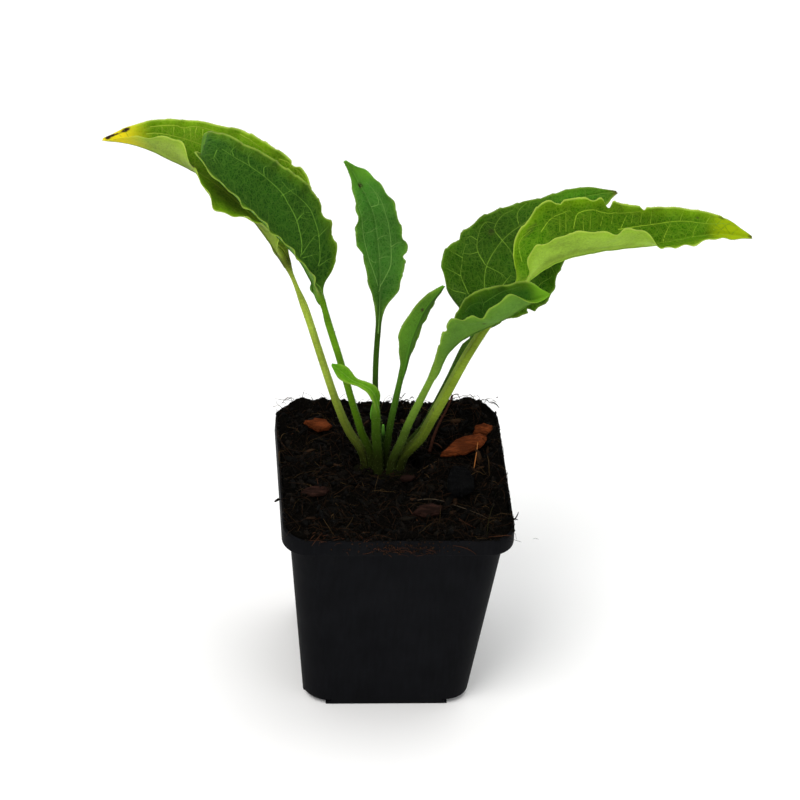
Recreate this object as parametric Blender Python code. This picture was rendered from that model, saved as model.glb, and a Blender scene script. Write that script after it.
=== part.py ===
"""A young coneflower in a square nursery pot: pot, potting soil, bark chips, rootstock and leaves.

Metres, +Z up. The origin is the centre of the pot's foot, on the surface that it stands on.
The pot's front faces -Y, and +X is to the right of someone who looks at the front.
"""

from math import cos, pi, radians, sin

import bmesh
import bpy
import numpy as np
from mathutils import Vector
from mathutils.bvhtree import BVHTree

# Pot
RIM_WIDTH = 0.090
POT_HEIGHT = 0.093
BAND_HEIGHT = 0.007
BAND_FLARE = 0.0002
WALL_TOP_WIDTH = 0.084
WALL_BASE_WIDTH = 0.067
CORNER_RADIUS = 0.0105
WALL = 0.001
FOOT_HEIGHT = 0.0025
FOOT_WIDTH = 0.044
FOOT_SPLAY = 0.0025
FLOOR_THICKNESS = 0.001
DRAIN_RADIUS = 0.0035
DRAIN_OFFSET = 0.0235

# Soil
GAP = 0.0003
SOIL_TOP = 0.0915
SOIL_RINGS = 9
RIPPLE_HEIGHT = 0.0007
FINE_RIPPLE_HEIGHT = 0.0004
MOUNDS = (
    # x, y, height, radius
    (-0.030, 0.037, 0.0035, 0.009),
    (0.030, 0.037, 0.0035, 0.010),
    (0.006, -0.036, 0.0012, 0.012),
    (-0.036, -0.008, 0.0010, 0.012),
    (-0.002, 0.008, -0.0030, 0.014),
)

# Rootstock
CROWN_CENTRE = (-0.0025, 0.0077)
CROWN_HALF = (0.0135, 0.0088)
CROWN_TOP = 0.0885
CROWN_BOTTOM = 0.0745
# Share of the full width, and share of the height
CROWN_PROFILE = ((0.75, 0), (1, 0.25), (1, 0.85), (0.88, 0.97), (0.6, 1))
CROWN_SIDES = 28
SOCKET_DEPTH = 0.005
SOCKET_GAP = 0.0005
BUD_PATH = ((-0.0026, 0.0100, 0.0865), (-0.0033, 0.0100, 0.0980), (-0.0040, 0.0100, 0.1080))
BUD_RADIUS = 0.0007

# Leaves
BLADE_THICKNESS = 0.0006
KEEL_DEPTH = 0.0013
KEEL_WIDTH = 0.0014
TOOTH_DEPTH = 0.0006
WAVE_DEPTH = 0.0007
WAVE_LENGTH = 0.017
ACROSS = (-1, -0.6, -0.12, 0, 0.12, 0.6, 1)
STALK_STEPS = 8
BLADE_STEPS = 26
SHORT_BLADE_STEPS = 17
SHORT_BLADE = 0.05

# Each leaf's heading is a level direction, in degrees from +X towards +Y, and its halves
# reach out level and square to it. Where the midrib bends sharply, steady is how far the
# blade's cross sections keep to its overall direction.
# A stalk row holds x, y, z and the stalk's half width.
# A blade row holds the midrib's x, y, z, then for the left half and for the right half its
# width, its lift out of the level in degrees, and how far it curls up across that width.
# Left and right are those of someone at the rootstock who looks along the leaf.
LEAVES = {
    "leaf_long_left": {
        "heading": 160,
        "stalk": (
            (-0.0120, 0.0090, 0.0895, 0.0016),
            (-0.0170, 0.0110, 0.1030, 0.0016),
            (-0.0228, 0.0130, 0.1180, 0.0015),
            (-0.0294, 0.0160, 0.1375, 0.0014),
            (-0.0360, 0.0190, 0.1575, 0.0014),
            (-0.0430, 0.0220, 0.1750, 0.0014),
        ),
        "blade": (
            (-0.0460, 0.0240, 0.1810, 0.0040, 20, 10, 0.0080, 25, 20),
            (-0.0495, 0.0260, 0.1845, 0.0085, 60, 10, 0.0190, 32, 20),
            (-0.0535, 0.0280, 0.1895, 0.0095, 50, 20, 0.0265, 38, 25),
            (-0.0595, 0.0300, 0.1955, 0.0130, 24, 40, 0.0270, 40, 30),
            (-0.0665, 0.0320, 0.2015, 0.0160, 10, 40, 0.0255, 40, 30),
            (-0.0740, 0.0340, 0.2070, 0.0155, 18, 30, 0.0230, 40, 30),
            (-0.0805, 0.0360, 0.2105, 0.0135, 39, 15, 0.0195, 40, 25),
            (-0.0880, 0.0380, 0.2135, 0.0125, 68, 10, 0.0170, 40, 20),
            (-0.0950, 0.0400, 0.2160, 0.0095, 70, 0, 0.0130, 42, 15),
            (-0.1040, 0.0420, 0.2180, 0.0050, 58, 0, 0.0070, 48, 10),
            (-0.1145, 0.0440, 0.2180, 0.0006, 20, 0, 0.0006, 20, 0),
        ),
    },
    "leaf_dark_left": {
        "heading": 178,
        "stalk": (
            (-0.0082, 0.0080, 0.0895, 0.0015),
            (-0.0127, 0.0060, 0.1085, 0.0015),
            (-0.0171, 0.0050, 0.1240, 0.0014),
            (-0.0229, 0.0030, 0.1455, 0.0014),
            (-0.0280, 0.0020, 0.1630, 0.0014),
            (-0.0305, 0.0010, 0.1725, 0.0014),
        ),
        "blade": (
            (-0.0323, 0.0010, 0.1770, 0.0025, -5, 10, 0.0032, 45, 10),
            (-0.0345, 0.0010, 0.1830, 0.0065, 0, 20, 0.0110, 45, 15),
            (-0.0393, 0.0000, 0.1945, 0.0085, 5, 25, 0.0180, 45, 20),
            (-0.0467, -0.0010, 0.2050, 0.0100, 10, 25, 0.0212, 40, 25),
            (-0.0550, -0.0020, 0.2145, 0.0125, 13, 20, 0.0215, 40, 25),
            (-0.0635, -0.0030, 0.2235, 0.0130, 14, 20, 0.0200, 40, 25),
            (-0.0722, -0.0040, 0.2335, 0.0110, 13, 15, 0.0165, 40, 25),
            (-0.0772, -0.0030, 0.2395, 0.0070, 15, 10, 0.0140, 35, 20),
            (-0.0788, 0.0015, 0.2385, 0.0050, 5, 0, 0.0095, 5, 10),
            (-0.0778, 0.0055, 0.2325, 0.0030, 0, 0, 0.0050, -15, 0),
            (-0.0755, 0.0090, 0.2260, 0.0006, 0, 0, 0.0006, 0, 0),
        ),
    },
    "leaf_upright": {
        "heading": 95,
        "stalk": (
            (-0.0030, 0.0125, 0.0895, 0.0012),
            (-0.0050, 0.0130, 0.1030, 0.0012),
            (-0.0072, 0.0150, 0.1190, 0.0011),
            (-0.0075, 0.0190, 0.1330, 0.0011),
            (-0.0070, 0.0230, 0.1430, 0.0011),
        ),
        "blade": (
            (-0.0067, 0.0250, 0.1475, 0.0012, 10, 0, 0.0012, 10, 0),
            (-0.0065, 0.0270, 0.1525, 0.0021, 20, 10, 0.0023, 25, 10),
            (-0.0065, 0.0300, 0.1597, 0.0045, 20, 15, 0.0078, 30, 15),
            (-0.0068, 0.0340, 0.1690, 0.0070, 25, 15, 0.0105, 30, 20),
            (-0.0077, 0.0380, 0.1768, 0.0100, 25, 15, 0.0120, 35, 25),
            (-0.0095, 0.0418, 0.1862, 0.0085, 30, 15, 0.0103, 40, 25),
            (-0.0125, 0.0440, 0.1930, 0.0060, 30, 10, 0.0097, 35, 20),
            (-0.0157, 0.0450, 0.1985, 0.0035, 30, 5, 0.0078, 30, 10),
            (-0.0186, 0.0450, 0.2040, 0.0016, 30, 0, 0.0042, 20, 0),
            (-0.0216, 0.0440, 0.2090, 0.0006, 20, 0, 0.0006, 20, 0),
        ),
    },
    "leaf_slim": {
        "heading": -75,
        "stalk": (
            (-0.0011, 0.0082, 0.0895, 0.0012),
            (-0.0016, 0.0075, 0.1075, 0.0012),
            (0.0000, 0.0070, 0.1225, 0.0012),
            (0.0015, 0.0060, 0.1352, 0.0012),
        ),
        "blade": (
            (0.0020, 0.0050, 0.1405, 0.0018, 18, 0, 0.0015, 40, 0),
            (0.0030, 0.0040, 0.1475, 0.0027, 18, 10, 0.0038, 40, 20),
            (0.0040, 0.0030, 0.1550, 0.0037, 18, 10, 0.0050, 40, 30),
            (0.0055, 0.0020, 0.1617, 0.0039, 18, 10, 0.0044, 40, 30),
            (0.0080, 0.0010, 0.1697, 0.0038, 18, 10, 0.0035, 40, 20),
            (0.0108, 0.0000, 0.1757, 0.0030, 18, 0, 0.0025, 40, 10),
            (0.0148, 0.0000, 0.1815, 0.0006, 20, 0, 0.0006, 20, 0),
        ),
    },
    "leaf_young": {
        "heading": 185,
        "stalk": (
            (-0.0046, 0.0044, 0.0895, 0.0018),
            (-0.0065, 0.0030, 0.1060, 0.0019),
            (-0.0075, 0.0010, 0.1180, 0.0019),
        ),
        "blade": (
            (-0.0079, 0.0000, 0.1245, 0.0024, -30, 30, 0.0026, 50, 20),
            (-0.0087, -0.0010, 0.1300, 0.0025, -40, 30, 0.0028, 45, 30),
            (-0.0108, -0.0020, 0.1340, 0.0022, -45, 30, 0.0023, 40, 30),
            (-0.0138, -0.0030, 0.1368, 0.0016, -45, 20, 0.0017, 35, 20),
            (-0.0167, -0.0036, 0.1387, 0.0015, -45, 0, 0.0016, 35, 0),
            (-0.0186, -0.0040, 0.1400, 0.0020, -45, 10, 0.0023, 40, 10),
            (-0.0211, -0.0042, 0.1425, 0.0028, -45, 10, 0.0030, 40, 10),
            (-0.0235, -0.0045, 0.1450, 0.0027, -45, 0, 0.0024, 40, 0),
            (-0.0265, -0.0050, 0.1480, 0.0006, -30, 0, 0.0006, 20, 0),
        ),
    },
    "leaf_round_right": {
        "heading": 45,
        "steady": 0.8,
        "stalk": (
            (0.0062, 0.0115, 0.0895, 0.0017),
            (0.0114, 0.0125, 0.1005, 0.0017),
            (0.0163, 0.0130, 0.1137, 0.0017),
            (0.0217, 0.0135, 0.1285, 0.0016),
            (0.0267, 0.0140, 0.1430, 0.0016),
            (0.0305, 0.0150, 0.1510, 0.0016),
        ),
        "blade": (
            (0.0324, 0.0160, 0.1555, 0.0140, 15, 0, 0.0067, -20, 0),
            (0.0330, 0.0180, 0.1603, 0.0212, 15, 10, 0.0105, -20, 20),
            (0.0330, 0.0200, 0.1660, 0.0220, 15, 15, 0.0173, -20, 25),
            (0.0336, 0.0240, 0.1738, 0.0170, 15, 20, 0.0260, -20, 25),
            (0.0361, 0.0270, 0.1782, 0.0150, 13, 20, 0.0290, -18, 25),
            (0.0405, 0.0300, 0.1834, 0.0130, 12, 20, 0.0280, -18, 25),
            (0.0470, 0.0330, 0.1876, 0.0104, 12, 20, 0.0240, -18, 20),
            (0.0567, 0.0360, 0.1928, 0.0060, 12, 15, 0.0175, -16, 15),
            (0.0680, 0.0380, 0.1965, 0.0050, 15, 10, 0.0115, -15, 10),
            (0.0775, 0.0400, 0.1977, 0.0033, 15, 0, 0.0053, -15, 0),
            (0.0845, 0.0410, 0.1980, 0.0006, 0, 0, 0.0006, 0, 0),
        ),
    },
    "leaf_long_right": {
        "heading": 6,
        "stalk": (
            (0.0058, 0.0046, 0.0895, 0.0019),
            (0.0115, 0.0040, 0.1090, 0.0020),
            (0.0187, 0.0030, 0.1285, 0.0020),
            (0.0262, 0.0020, 0.1487, 0.0019),
            (0.0330, 0.0010, 0.1640, 0.0018),
            (0.0395, 0.0000, 0.1765, 0.0018),
        ),
        "blade": (
            (0.0440, 0.0000, 0.1827, 0.0035, 30, 0, 0.0025, 25, 0),
            (0.0478, 0.0010, 0.1857, 0.0120, 42, 20, 0.0070, 45, 10),
            (0.0535, 0.0020, 0.1902, 0.0188, 39, 30, 0.0135, 70, 30),
            (0.0590, 0.0020, 0.1935, 0.0228, 41, 30, 0.0148, 70, 30),
            (0.0665, 0.0030, 0.1953, 0.0218, 41, 30, 0.0150, 63, 25),
            (0.0755, 0.0050, 0.1958, 0.0208, 42, 30, 0.0145, 57, 20),
            (0.0860, 0.0070, 0.1958, 0.0168, 41, 25, 0.0138, 57, 15),
            (0.0965, 0.0090, 0.1956, 0.0145, 43, 20, 0.0120, 22, 0),
            (0.1025, 0.0100, 0.1962, 0.0137, 41, 15, 0.0110, 18, 0),
            (0.1100, 0.0110, 0.1973, 0.0112, 41, 10, 0.0090, 18, 0),
            (0.1220, 0.0120, 0.1980, 0.0070, 43, 5, 0.0055, 13, 0),
            (0.1335, 0.0120, 0.1965, 0.0006, 20, 0, 0.0006, 0, 0),
        ),
    },
    "leaf_curled_right": {
        "heading": -20,
        "stalk": (
            (0.0014, 0.0034, 0.0895, 0.0016),
            (0.0035, 0.0020, 0.1105, 0.0017),
            (0.0080, 0.0000, 0.1265, 0.0016),
            (0.0121, -0.0020, 0.1402, 0.0016),
        ),
        "blade": (
            (0.0140, -0.0040, 0.1485, 0.0022, 30, 0, 0.0027, 40, 0),
            (0.0172, -0.0060, 0.1557, 0.0042, 38, 0, 0.0048, 50, 10),
            (0.0207, -0.0080, 0.1618, 0.0077, 45, 20, 0.0082, 50, 20),
            (0.0252, -0.0100, 0.1670, 0.0123, 54, 30, 0.0122, 60, 20),
            (0.0304, -0.0120, 0.1715, 0.0137, 58, 30, 0.0125, 49, 30),
            (0.0355, -0.0140, 0.1760, 0.0127, 58, 30, 0.0115, 38, 30),
            (0.0406, -0.0160, 0.1810, 0.0114, 50, 30, 0.0107, 55, 20),
            (0.0458, -0.0170, 0.1857, 0.0090, 45, 20, 0.0085, 48, 0),
            (0.0493, -0.0180, 0.1885, 0.0047, 42, 10, 0.0060, 10, 0),
            (0.0525, -0.0185, 0.1905, 0.0006, 20, 0, 0.0006, 0, 0),
        ),
    },
}

# Bark chips: x, y, length, width, thickness, turn in degrees, draw, colour
CHIPS = {
    "bark_chip_orange": (0.0295, 0.0138, 0.022, 0.0090, 0.0032, 31, 3, "orange bark"),
    "bark_chip_scrap": (0.0377, 0.0250, 0.008, 0.0060, 0.0022, 25, 5, "orange bark"),
    "bark_chip_back": (-0.0278, 0.0270, 0.010, 0.0065, 0.0028, -10, 8, "orange bark"),
    "bark_chip_left": (-0.0310, -0.0140, 0.012, 0.0060, 0.0020, 14, 11, "dull bark"),
    "bark_chip_front": (0.0120, -0.0265, 0.012, 0.0080, 0.0024, 20, 14, "dull bark"),
    "bark_chip_small": (0.0055, -0.0045, 0.007, 0.0035, 0.0016, 10, 17, "dull bark"),
    "bark_chip_dark": (0.0255, -0.0095, 0.025, 0.0115, 0.0036, 84, 20, "dark bark"),
}
CHIP_CORNERS = 10
CHIP_REACH = (-0.22, 0.12)
CHIP_ROUGHNESS = 0.12
# Share of the full outline, and share of the thickness
CHIP_PROFILE = ((0.85, 0), (1, 0.45), (0.86, 1))

# Dried stalk, lying on the soil towards the back rim
STALK_RADIUS = 0.0006
STALK_PATH = (
    (0.0155, 0.0130, 0.0920),
    (0.0175, 0.0200, 0.0940),
    (0.0205, 0.0280, 0.0955),
    (0.0240, 0.0350, 0.0975),
    (0.0265, 0.0405, 0.1000),
)

# Colour, roughness and metallic value
FINISHES = {
    "black plastic": ((0.010, 0.011, 0.013), 0.45, 0.0),
    "soil": ((0.012, 0.008, 0.006), 0.95, 0.0),
    "orange bark": ((0.180, 0.055, 0.022), 0.85, 0.0),
    "dull bark": ((0.045, 0.018, 0.011), 0.85, 0.0),
    "dark bark": ((0.010, 0.009, 0.009), 0.80, 0.0),
    "dry stalk": ((0.090, 0.035, 0.018), 0.80, 0.0),
    "rootstock": ((0.060, 0.055, 0.018), 0.70, 0.0),
    "pale leaf": ((0.110, 0.260, 0.020), 0.50, 0.0),
    "dark leaf": ((0.028, 0.105, 0.012), 0.50, 0.0),
}
PALE_LEAVES = ("leaf_long_left", "leaf_long_right", "leaf_slim", "leaf_young")


def clear_scene():
    for old in list(bpy.data.objects):
        bpy.data.objects.remove(old, do_unlink=True)


def material(name):
    """The named finish as a Principled material, made once."""
    if name in bpy.data.materials:
        return bpy.data.materials[name]
    colour, roughness, metallic = FINISHES[name]
    made = bpy.data.materials.new(name)
    made.use_nodes = True
    shader = made.node_tree.nodes["Principled BSDF"]
    shader.inputs["Base Color"].default_value = (*colour, 1)
    shader.inputs["Roughness"].default_value = roughness
    shader.inputs["Metallic"].default_value = metallic
    return made


def add_object(name, points, faces, finish, smooth_angle=40):
    mesh = bpy.data.meshes.new(name)
    mesh.from_pydata([tuple(point) for point in points], [], [tuple(face) for face in faces])
    mesh.materials.append(material(finish))
    mesh.shade_smooth()
    mesh.set_sharp_from_angle(angle=radians(smooth_angle))
    made = bpy.data.objects.new(name, mesh)
    bpy.context.scene.collection.objects.link(made)
    return made


def add_boolean(target, cutter, operation):
    """A Boolean on target, with its cutter kept as a hidden helper."""
    cutter.hide_render = True
    cutter.display_type = "WIRE"
    change = target.modifiers.new(f"{operation.lower()} {cutter.name}", "BOOLEAN")
    change.operation = operation
    change.solver = "EXACT"
    change.object = cutter


def lofted(rings, closed_ends=True):
    """Points and faces of a skin over rings that all have the same number of points.

    The rings run counterclockwise as seen from the last one, so the faces point outwards.
    """
    count = len(rings[0])
    points = np.concatenate(rings)
    faces = []
    for level in range(len(rings) - 1):
        low, high = level * count, (level + 1) * count
        for k in range(count):
            after = (k + 1) % count
            faces.append((low + k, low + after, high + after, high + k))
    if closed_ends:
        faces.append(tuple(reversed(range(count))))
        faces.append(tuple(range(len(points) - count, len(points))))
    return points, faces


def rounded_square(width, radius, z, corner_steps=6):
    """Points round a square with round corners, counterclockwise from above."""
    inner = width / 2 - radius
    points = []
    for corner, (cx, cy) in enumerate(((1, 1), (-1, 1), (-1, -1), (1, -1))):
        for step in range(corner_steps + 1):
            turn = pi / 2 * (corner + step / corner_steps)
            points.append((cx * inner + radius * cos(turn), cy * inner + radius * sin(turn), z))
    return np.array(points)


def oval(centre, half, z, count=20):
    turn = np.linspace(0, 2 * pi, count, endpoint=False)
    x = centre[0] + half[0] * np.cos(turn)
    y = centre[1] + half[1] * np.sin(turn)
    return np.stack([x, y, np.full(count, z)], axis=1)


def tube(path, radii, count=8):
    """Rings square to a path that rises, with a radius for each point of the path."""
    path = np.array(path)
    along = unit(np.gradient(path, axis=0))
    side = unit(np.cross((0, 1, 0), along))
    front = np.cross(along, side)
    turn = np.linspace(0, 2 * pi, count, endpoint=False)[:, None]
    return [
        centre + radius * (np.cos(turn) * across + np.sin(turn) * deep)
        for centre, radius, across, deep in zip(path, radii, side, front)
    ]


def wall_width(z):
    """Outer width of the tapered wall at height z."""
    share = (z - FOOT_HEIGHT) / (POT_HEIGHT - BAND_HEIGHT - FOOT_HEIGHT)
    return WALL_BASE_WIDTH + share * (WALL_TOP_WIDTH - WALL_BASE_WIDTH)


def build_pot():
    """One skin up the outside, over the rim and down the inside to the floor."""
    shoulder = POT_HEIGHT - BAND_HEIGHT
    floor = FOOT_HEIGHT + FLOOR_THICKNESS
    inner_radius = CORNER_RADIUS - WALL
    band_low = RIM_WIDTH + 2 * BAND_FLARE
    rings = [
        rounded_square(wall_width(0), CORNER_RADIUS, 0),
        rounded_square(WALL_TOP_WIDTH, CORNER_RADIUS, shoulder),
        rounded_square(band_low, CORNER_RADIUS, shoulder),
        rounded_square(RIM_WIDTH, CORNER_RADIUS, POT_HEIGHT),
        rounded_square(RIM_WIDTH - 2 * WALL, inner_radius, POT_HEIGHT),
        rounded_square(band_low - 2 * WALL, inner_radius, shoulder + WALL),
        rounded_square(wall_width(shoulder + WALL) - 2 * WALL, inner_radius, shoulder + WALL),
        rounded_square(wall_width(floor) - 2 * WALL, inner_radius, floor),
    ]
    pot = add_object("pot", *lofted(rings), "black plastic")
    for side_x in (-1, 1):
        for side_y in (-1, 1):
            add_boolean(pot, corner_cutter(side_x, side_y), "DIFFERENCE")
            add_boolean(pot, drain_cutter(side_x, side_y), "DIFFERENCE")
    return pot


def corner_cutter(side_x, side_y):
    """The block that raises one corner of the foot. Its two inner sides slope."""
    low, high = FOOT_WIDTH / 2 + FOOT_SPLAY, FOOT_WIDTH / 2
    far = RIM_WIDTH
    rings = []
    for inner, z in ((low + FOOT_SPLAY, -FOOT_HEIGHT), (high, FOOT_HEIGHT)):
        corners = [(inner, inner), (far, inner), (far, far), (inner, far)]
        if side_x * side_y < 0:
            corners.reverse()
        rings.append(np.array([(side_x * x, side_y * y, z) for x, y in corners]))
    name = f"corner_cutter_{side_x}_{side_y}"
    return add_object(name, *lofted(rings), "black plastic")


def drain_cutter(side_x, side_y):
    centre = (side_x * DRAIN_OFFSET, side_y * DRAIN_OFFSET)
    half = (DRAIN_RADIUS, DRAIN_RADIUS)
    rings = [oval(centre, half, z, count=16) for z in (-FOOT_HEIGHT, 3 * FOOT_HEIGHT)]
    name = f"drain_cutter_{side_x}_{side_y}"
    return add_object(name, *lofted(rings), "black plastic")


def soil_height(x, y):
    """Height of the soil: two crossed sets of ripples with mounds added."""
    height = SOIL_TOP + RIPPLE_HEIGHT * np.sin(330 * x + 1.0) * np.sin(290 * y + 0.4)
    height = height + FINE_RIPPLE_HEIGHT * np.sin(640 * x + 430 * y)
    for mound_x, mound_y, rise, radius in MOUNDS:
        height = height + rise * np.exp(-((x - mound_x) ** 2 + (y - mound_y) ** 2) / radius**2)
    return height


def edge_of_soil(z):
    """The soil's outline at height z, a gap clear of the pot's inside."""
    shoulder = POT_HEIGHT - BAND_HEIGHT + WALL
    width = RIM_WIDTH if z > shoulder else wall_width(z)
    return rounded_square(width - 2 * WALL - 2 * GAP, CORNER_RADIUS - WALL - GAP, z)


def build_soil():
    """The bumpy top is a web of rings round the middle, and the sides follow the pot."""
    shoulder = POT_HEIGHT - BAND_HEIGHT + WALL
    floor = FOOT_HEIGHT + FLOOR_THICKNESS
    outline = edge_of_soil(POT_HEIGHT)
    below_band = edge_of_soil(shoulder)
    below_band[:, 2] = shoulder + GAP
    rim_foot = outline.copy()
    rim_foot[:, 2] = shoulder + GAP
    rings = [edge_of_soil(floor + GAP), below_band, rim_foot]
    for share in np.linspace(1, 0.1, SOIL_RINGS):
        ring = outline * share
        ring[:, 2] = soil_height(ring[:, 0], ring[:, 1])
        rings.append(ring)
    soil = add_object("potting_soil", *lofted(rings), "soil", smooth_angle=60)
    triangulate(soil)
    hole_half = (CROWN_HALF[0] + GAP, CROWN_HALF[1] + GAP)
    levels = (CROWN_BOTTOM - GAP, POT_HEIGHT + 0.02)
    hole = [oval(CROWN_CENTRE, hole_half, z, CROWN_SIDES) for z in levels]
    add_boolean(soil, add_object("crown_hole", *lofted(hole), "soil"), "DIFFERENCE")
    return soil


def build_crown():
    """A short oval rootstock with a socket for each leaf stalk, and the next leaf's tip."""
    rings = []
    for share, level in CROWN_PROFILE:
        half = (CROWN_HALF[0] * share, CROWN_HALF[1] * share)
        z = CROWN_BOTTOM + level * (CROWN_TOP - CROWN_BOTTOM)
        rings.append(oval(CROWN_CENTRE, half, z, CROWN_SIDES))
    crown = add_object("crown", *lofted(rings), "rootstock")
    bud_radii = (BUD_RADIUS, BUD_RADIUS, 0.4 * BUD_RADIUS)
    bud = add_object("bud", *lofted(tube(BUD_PATH, bud_radii)), "rootstock")
    add_boolean(crown, bud, "UNION")
    for name, leaf in LEAVES.items():
        x, y, z, half_width = leaf["stalk"][0]
        half = (half_width + SOCKET_GAP, half_width + SOCKET_GAP)
        levels = (CROWN_TOP - SOCKET_DEPTH - GAP, CROWN_TOP + 0.01)
        rings = [oval((x, y), half, level, count=12) for level in levels]
        socket = add_object(f"socket_{name}", *lofted(rings), "rootstock")
        add_boolean(crown, socket, "DIFFERENCE")
    return crown


def smooth(knots, rows, at):
    """Rows read between their knots from smooth curves, of which the first stretch is straight.

    Each stretch is a cubic that leaves and meets the rows with the slope of their neighbours.
    """
    slopes = np.gradient(rows, knots, axis=0)
    slopes[1] = slopes[0]
    before = np.clip(np.searchsorted(knots, at, side="right") - 1, 0, len(knots) - 2)
    span = (knots[before + 1] - knots[before])[:, None]
    u = (at - knots[before])[:, None] / span
    start = (1 + 2 * u) * (1 - u) ** 2 * rows[before]
    leave = u * (1 - u) ** 2 * span * slopes[before]
    end = u**2 * (3 - 2 * u) * rows[before + 1]
    meet = u**2 * (u - 1) * span * slopes[before + 1]
    return start + leave + end + meet


def leaf_stations(leaf):
    """Rows along the leaf, how much of each is blade, and the distance along the leaf."""
    x, y, z, half_width = leaf["stalk"][0]
    stalk = [(x, y, CROWN_TOP - SOCKET_DEPTH, half_width), *leaf["stalk"]]
    rows = [(x, y, z, half, 0, 0, half, 0, 0) for x, y, z, half in stalk]
    rows = np.array([*rows, *leaf["blade"]], float)
    rows[:, (4, 5, 7, 8)] = np.radians(rows[:, (4, 5, 7, 8)])
    steps = np.linalg.norm(np.diff(rows[:, :3], axis=0), axis=1)
    knots = np.concatenate([[0], np.cumsum(steps)])
    joint = knots[len(stalk) - 1]
    blade_steps = BLADE_STEPS if knots[-1] - joint > SHORT_BLADE else SHORT_BLADE_STEPS
    at = np.concatenate([
        knots[:1],
        np.linspace(knots[1], joint, STALK_STEPS, endpoint=False),
        np.linspace(joint, knots[-1], blade_steps),
    ])
    share = np.clip((at - joint) / (knots[len(stalk) + 1] - joint), 0, 1)
    return smooth(knots, rows, at), (3 - 2 * share) * share**2, at


def unit(vectors):
    return vectors / np.linalg.norm(vectors, axis=-1, keepdims=True)


def leaf_frame(leaf, path, blade):
    """Unit vectors to the right of each cross section, and out of its upper side."""
    along = unit(np.gradient(path, axis=0))
    overall = unit(path[-1] - path[np.argmax(blade > 0)])
    along = unit(along + leaf.get("steady", 0) * blade[:, None] * (overall - along))
    level = np.array([sin(radians(leaf["heading"])), -cos(radians(leaf["heading"])), 0])
    right = unit(level - (along @ level)[:, None] * along)
    return right, np.cross(right, along)


def leaf_rings(leaf):
    """Points on the upper and the lower side, as arrays of station by place across by xyz.

    Across the blade each half is an arc of the given width, whose chord has the given lift.
    The stalk is a half round with a groove on top, and it turns into the blade's keel.
    """
    rows, blade, at = leaf_stations(leaf)
    right, up = leaf_frame(leaf, rows[:, :3], blade)
    across = np.array(ACROSS)
    tooth = np.where(np.arange(len(at)) % 2, TOOTH_DEPTH, -TOOTH_DEPTH)
    tooth = tooth * blade * np.clip(rows[:, 3] / 0.01, 0, 1)
    left_half = across[None] < 0
    width = np.where(left_half, rows[:, 3:4], rows[:, 6:7])
    lift = np.where(left_half, rows[:, 4:5], rows[:, 7:8])
    curl = np.where(left_half, rows[:, 5:6], rows[:, 8:9])
    width = width + tooth[:, None] * (np.abs(across) == 1)
    curl = np.where(np.abs(curl) < 0.01, 0.01, curl)
    start = lift - curl / 2
    turned = start + curl * np.abs(across)
    out = np.sign(across) * width * (np.sin(turned) - np.sin(start)) / curl
    rise = width * (np.cos(start) - np.cos(turned)) / curl
    face_out, face_up = -np.sign(across) * np.sin(turned), np.cos(turned)
    middle = len(ACROSS) // 2
    left_start, right_start = start[:, middle - 1], start[:, middle]
    face_out[:, middle] = np.sin(left_start) - np.sin(right_start)
    face_up[:, middle] = np.cos(left_start) + np.cos(right_start)
    size = np.hypot(face_out, face_up)
    face_out, face_up = face_out / size, face_up / size
    wave = WAVE_DEPTH * np.abs(across) ** 3 * np.clip(width / 0.012, 0, 1)
    wave = wave * np.sin(2 * pi * at[:, None] / WAVE_LENGTH + 2 * np.sign(across))
    out, rise = out + wave * face_out, rise + wave * face_up
    half_thick = BLADE_THICKNESS / 2
    keel = KEEL_DEPTH * np.exp(-((width * across / KEEL_WIDTH) ** 2))
    keel = keel * (1 - 0.8 * (at / at[-1])[:, None] ** 2)
    lean_out, lean_up = face_out[:, middle : middle + 1], face_up[:, middle : middle + 1]
    arc = np.pi / 2 * across
    stalk_out = width * np.sin(arc)
    stalk_top = width * np.cos(arc) * (0.2 + 1.2 * across**2) + half_thick / 2
    stalk_low = -width * np.cos(arc) - half_thick / 2
    share = blade[:, None]

    def side(offset, keel_part, stalk_rise):
        blade_out = out + offset * face_out - keel_part * lean_out
        blade_up = rise + offset * face_up - keel_part * lean_up
        s = (1 - share) * stalk_out + share * blade_out
        n = (1 - share) * stalk_rise + share * blade_up
        return rows[:, None, :3] + s[..., None] * right[:, None] + n[..., None] * up[:, None]

    return side(half_thick, 0, stalk_top), side(-half_thick, keel, stalk_low)


def build_leaf(name, leaf):
    """One closed skin, split into triangles alike on the upper and the lower side."""
    top, low = leaf_rings(leaf)
    stations, columns = top.shape[:2]
    points = np.concatenate([top.reshape(-1, 3), low.reshape(-1, 3)])
    t = np.arange(stations * columns).reshape(stations, columns)
    b = t + stations * columns
    faces = []
    for i in range(stations - 1):
        for j in range(columns - 1):
            if (j < columns // 2) == (i % 2 == 0):
                halves = ((0, 0), (0, 1), (1, 1)), ((0, 0), (1, 1), (1, 0))
            else:
                halves = ((0, 0), (0, 1), (1, 0)), ((0, 1), (1, 1), (1, 0))
            for corners in halves:
                faces.append([t[i + di, j + dj] for di, dj in corners])
                faces.append([b[i + di, j + dj] for di, dj in reversed(corners)])
        faces.append((t[i, -1], b[i, -1], b[i + 1, -1], t[i + 1, -1]))
        faces.append((t[i, 0], t[i + 1, 0], b[i + 1, 0], b[i, 0]))
    for j in range(columns - 1):
        faces.append((t[0, j], b[0, j], b[0, j + 1], t[0, j + 1]))
        faces.append((t[-1, j], t[-1, j + 1], b[-1, j + 1], b[-1, j]))
    finish = "pale leaf" if name in PALE_LEAVES else "dark leaf"
    return add_object(name, points, faces, finish)


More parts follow.
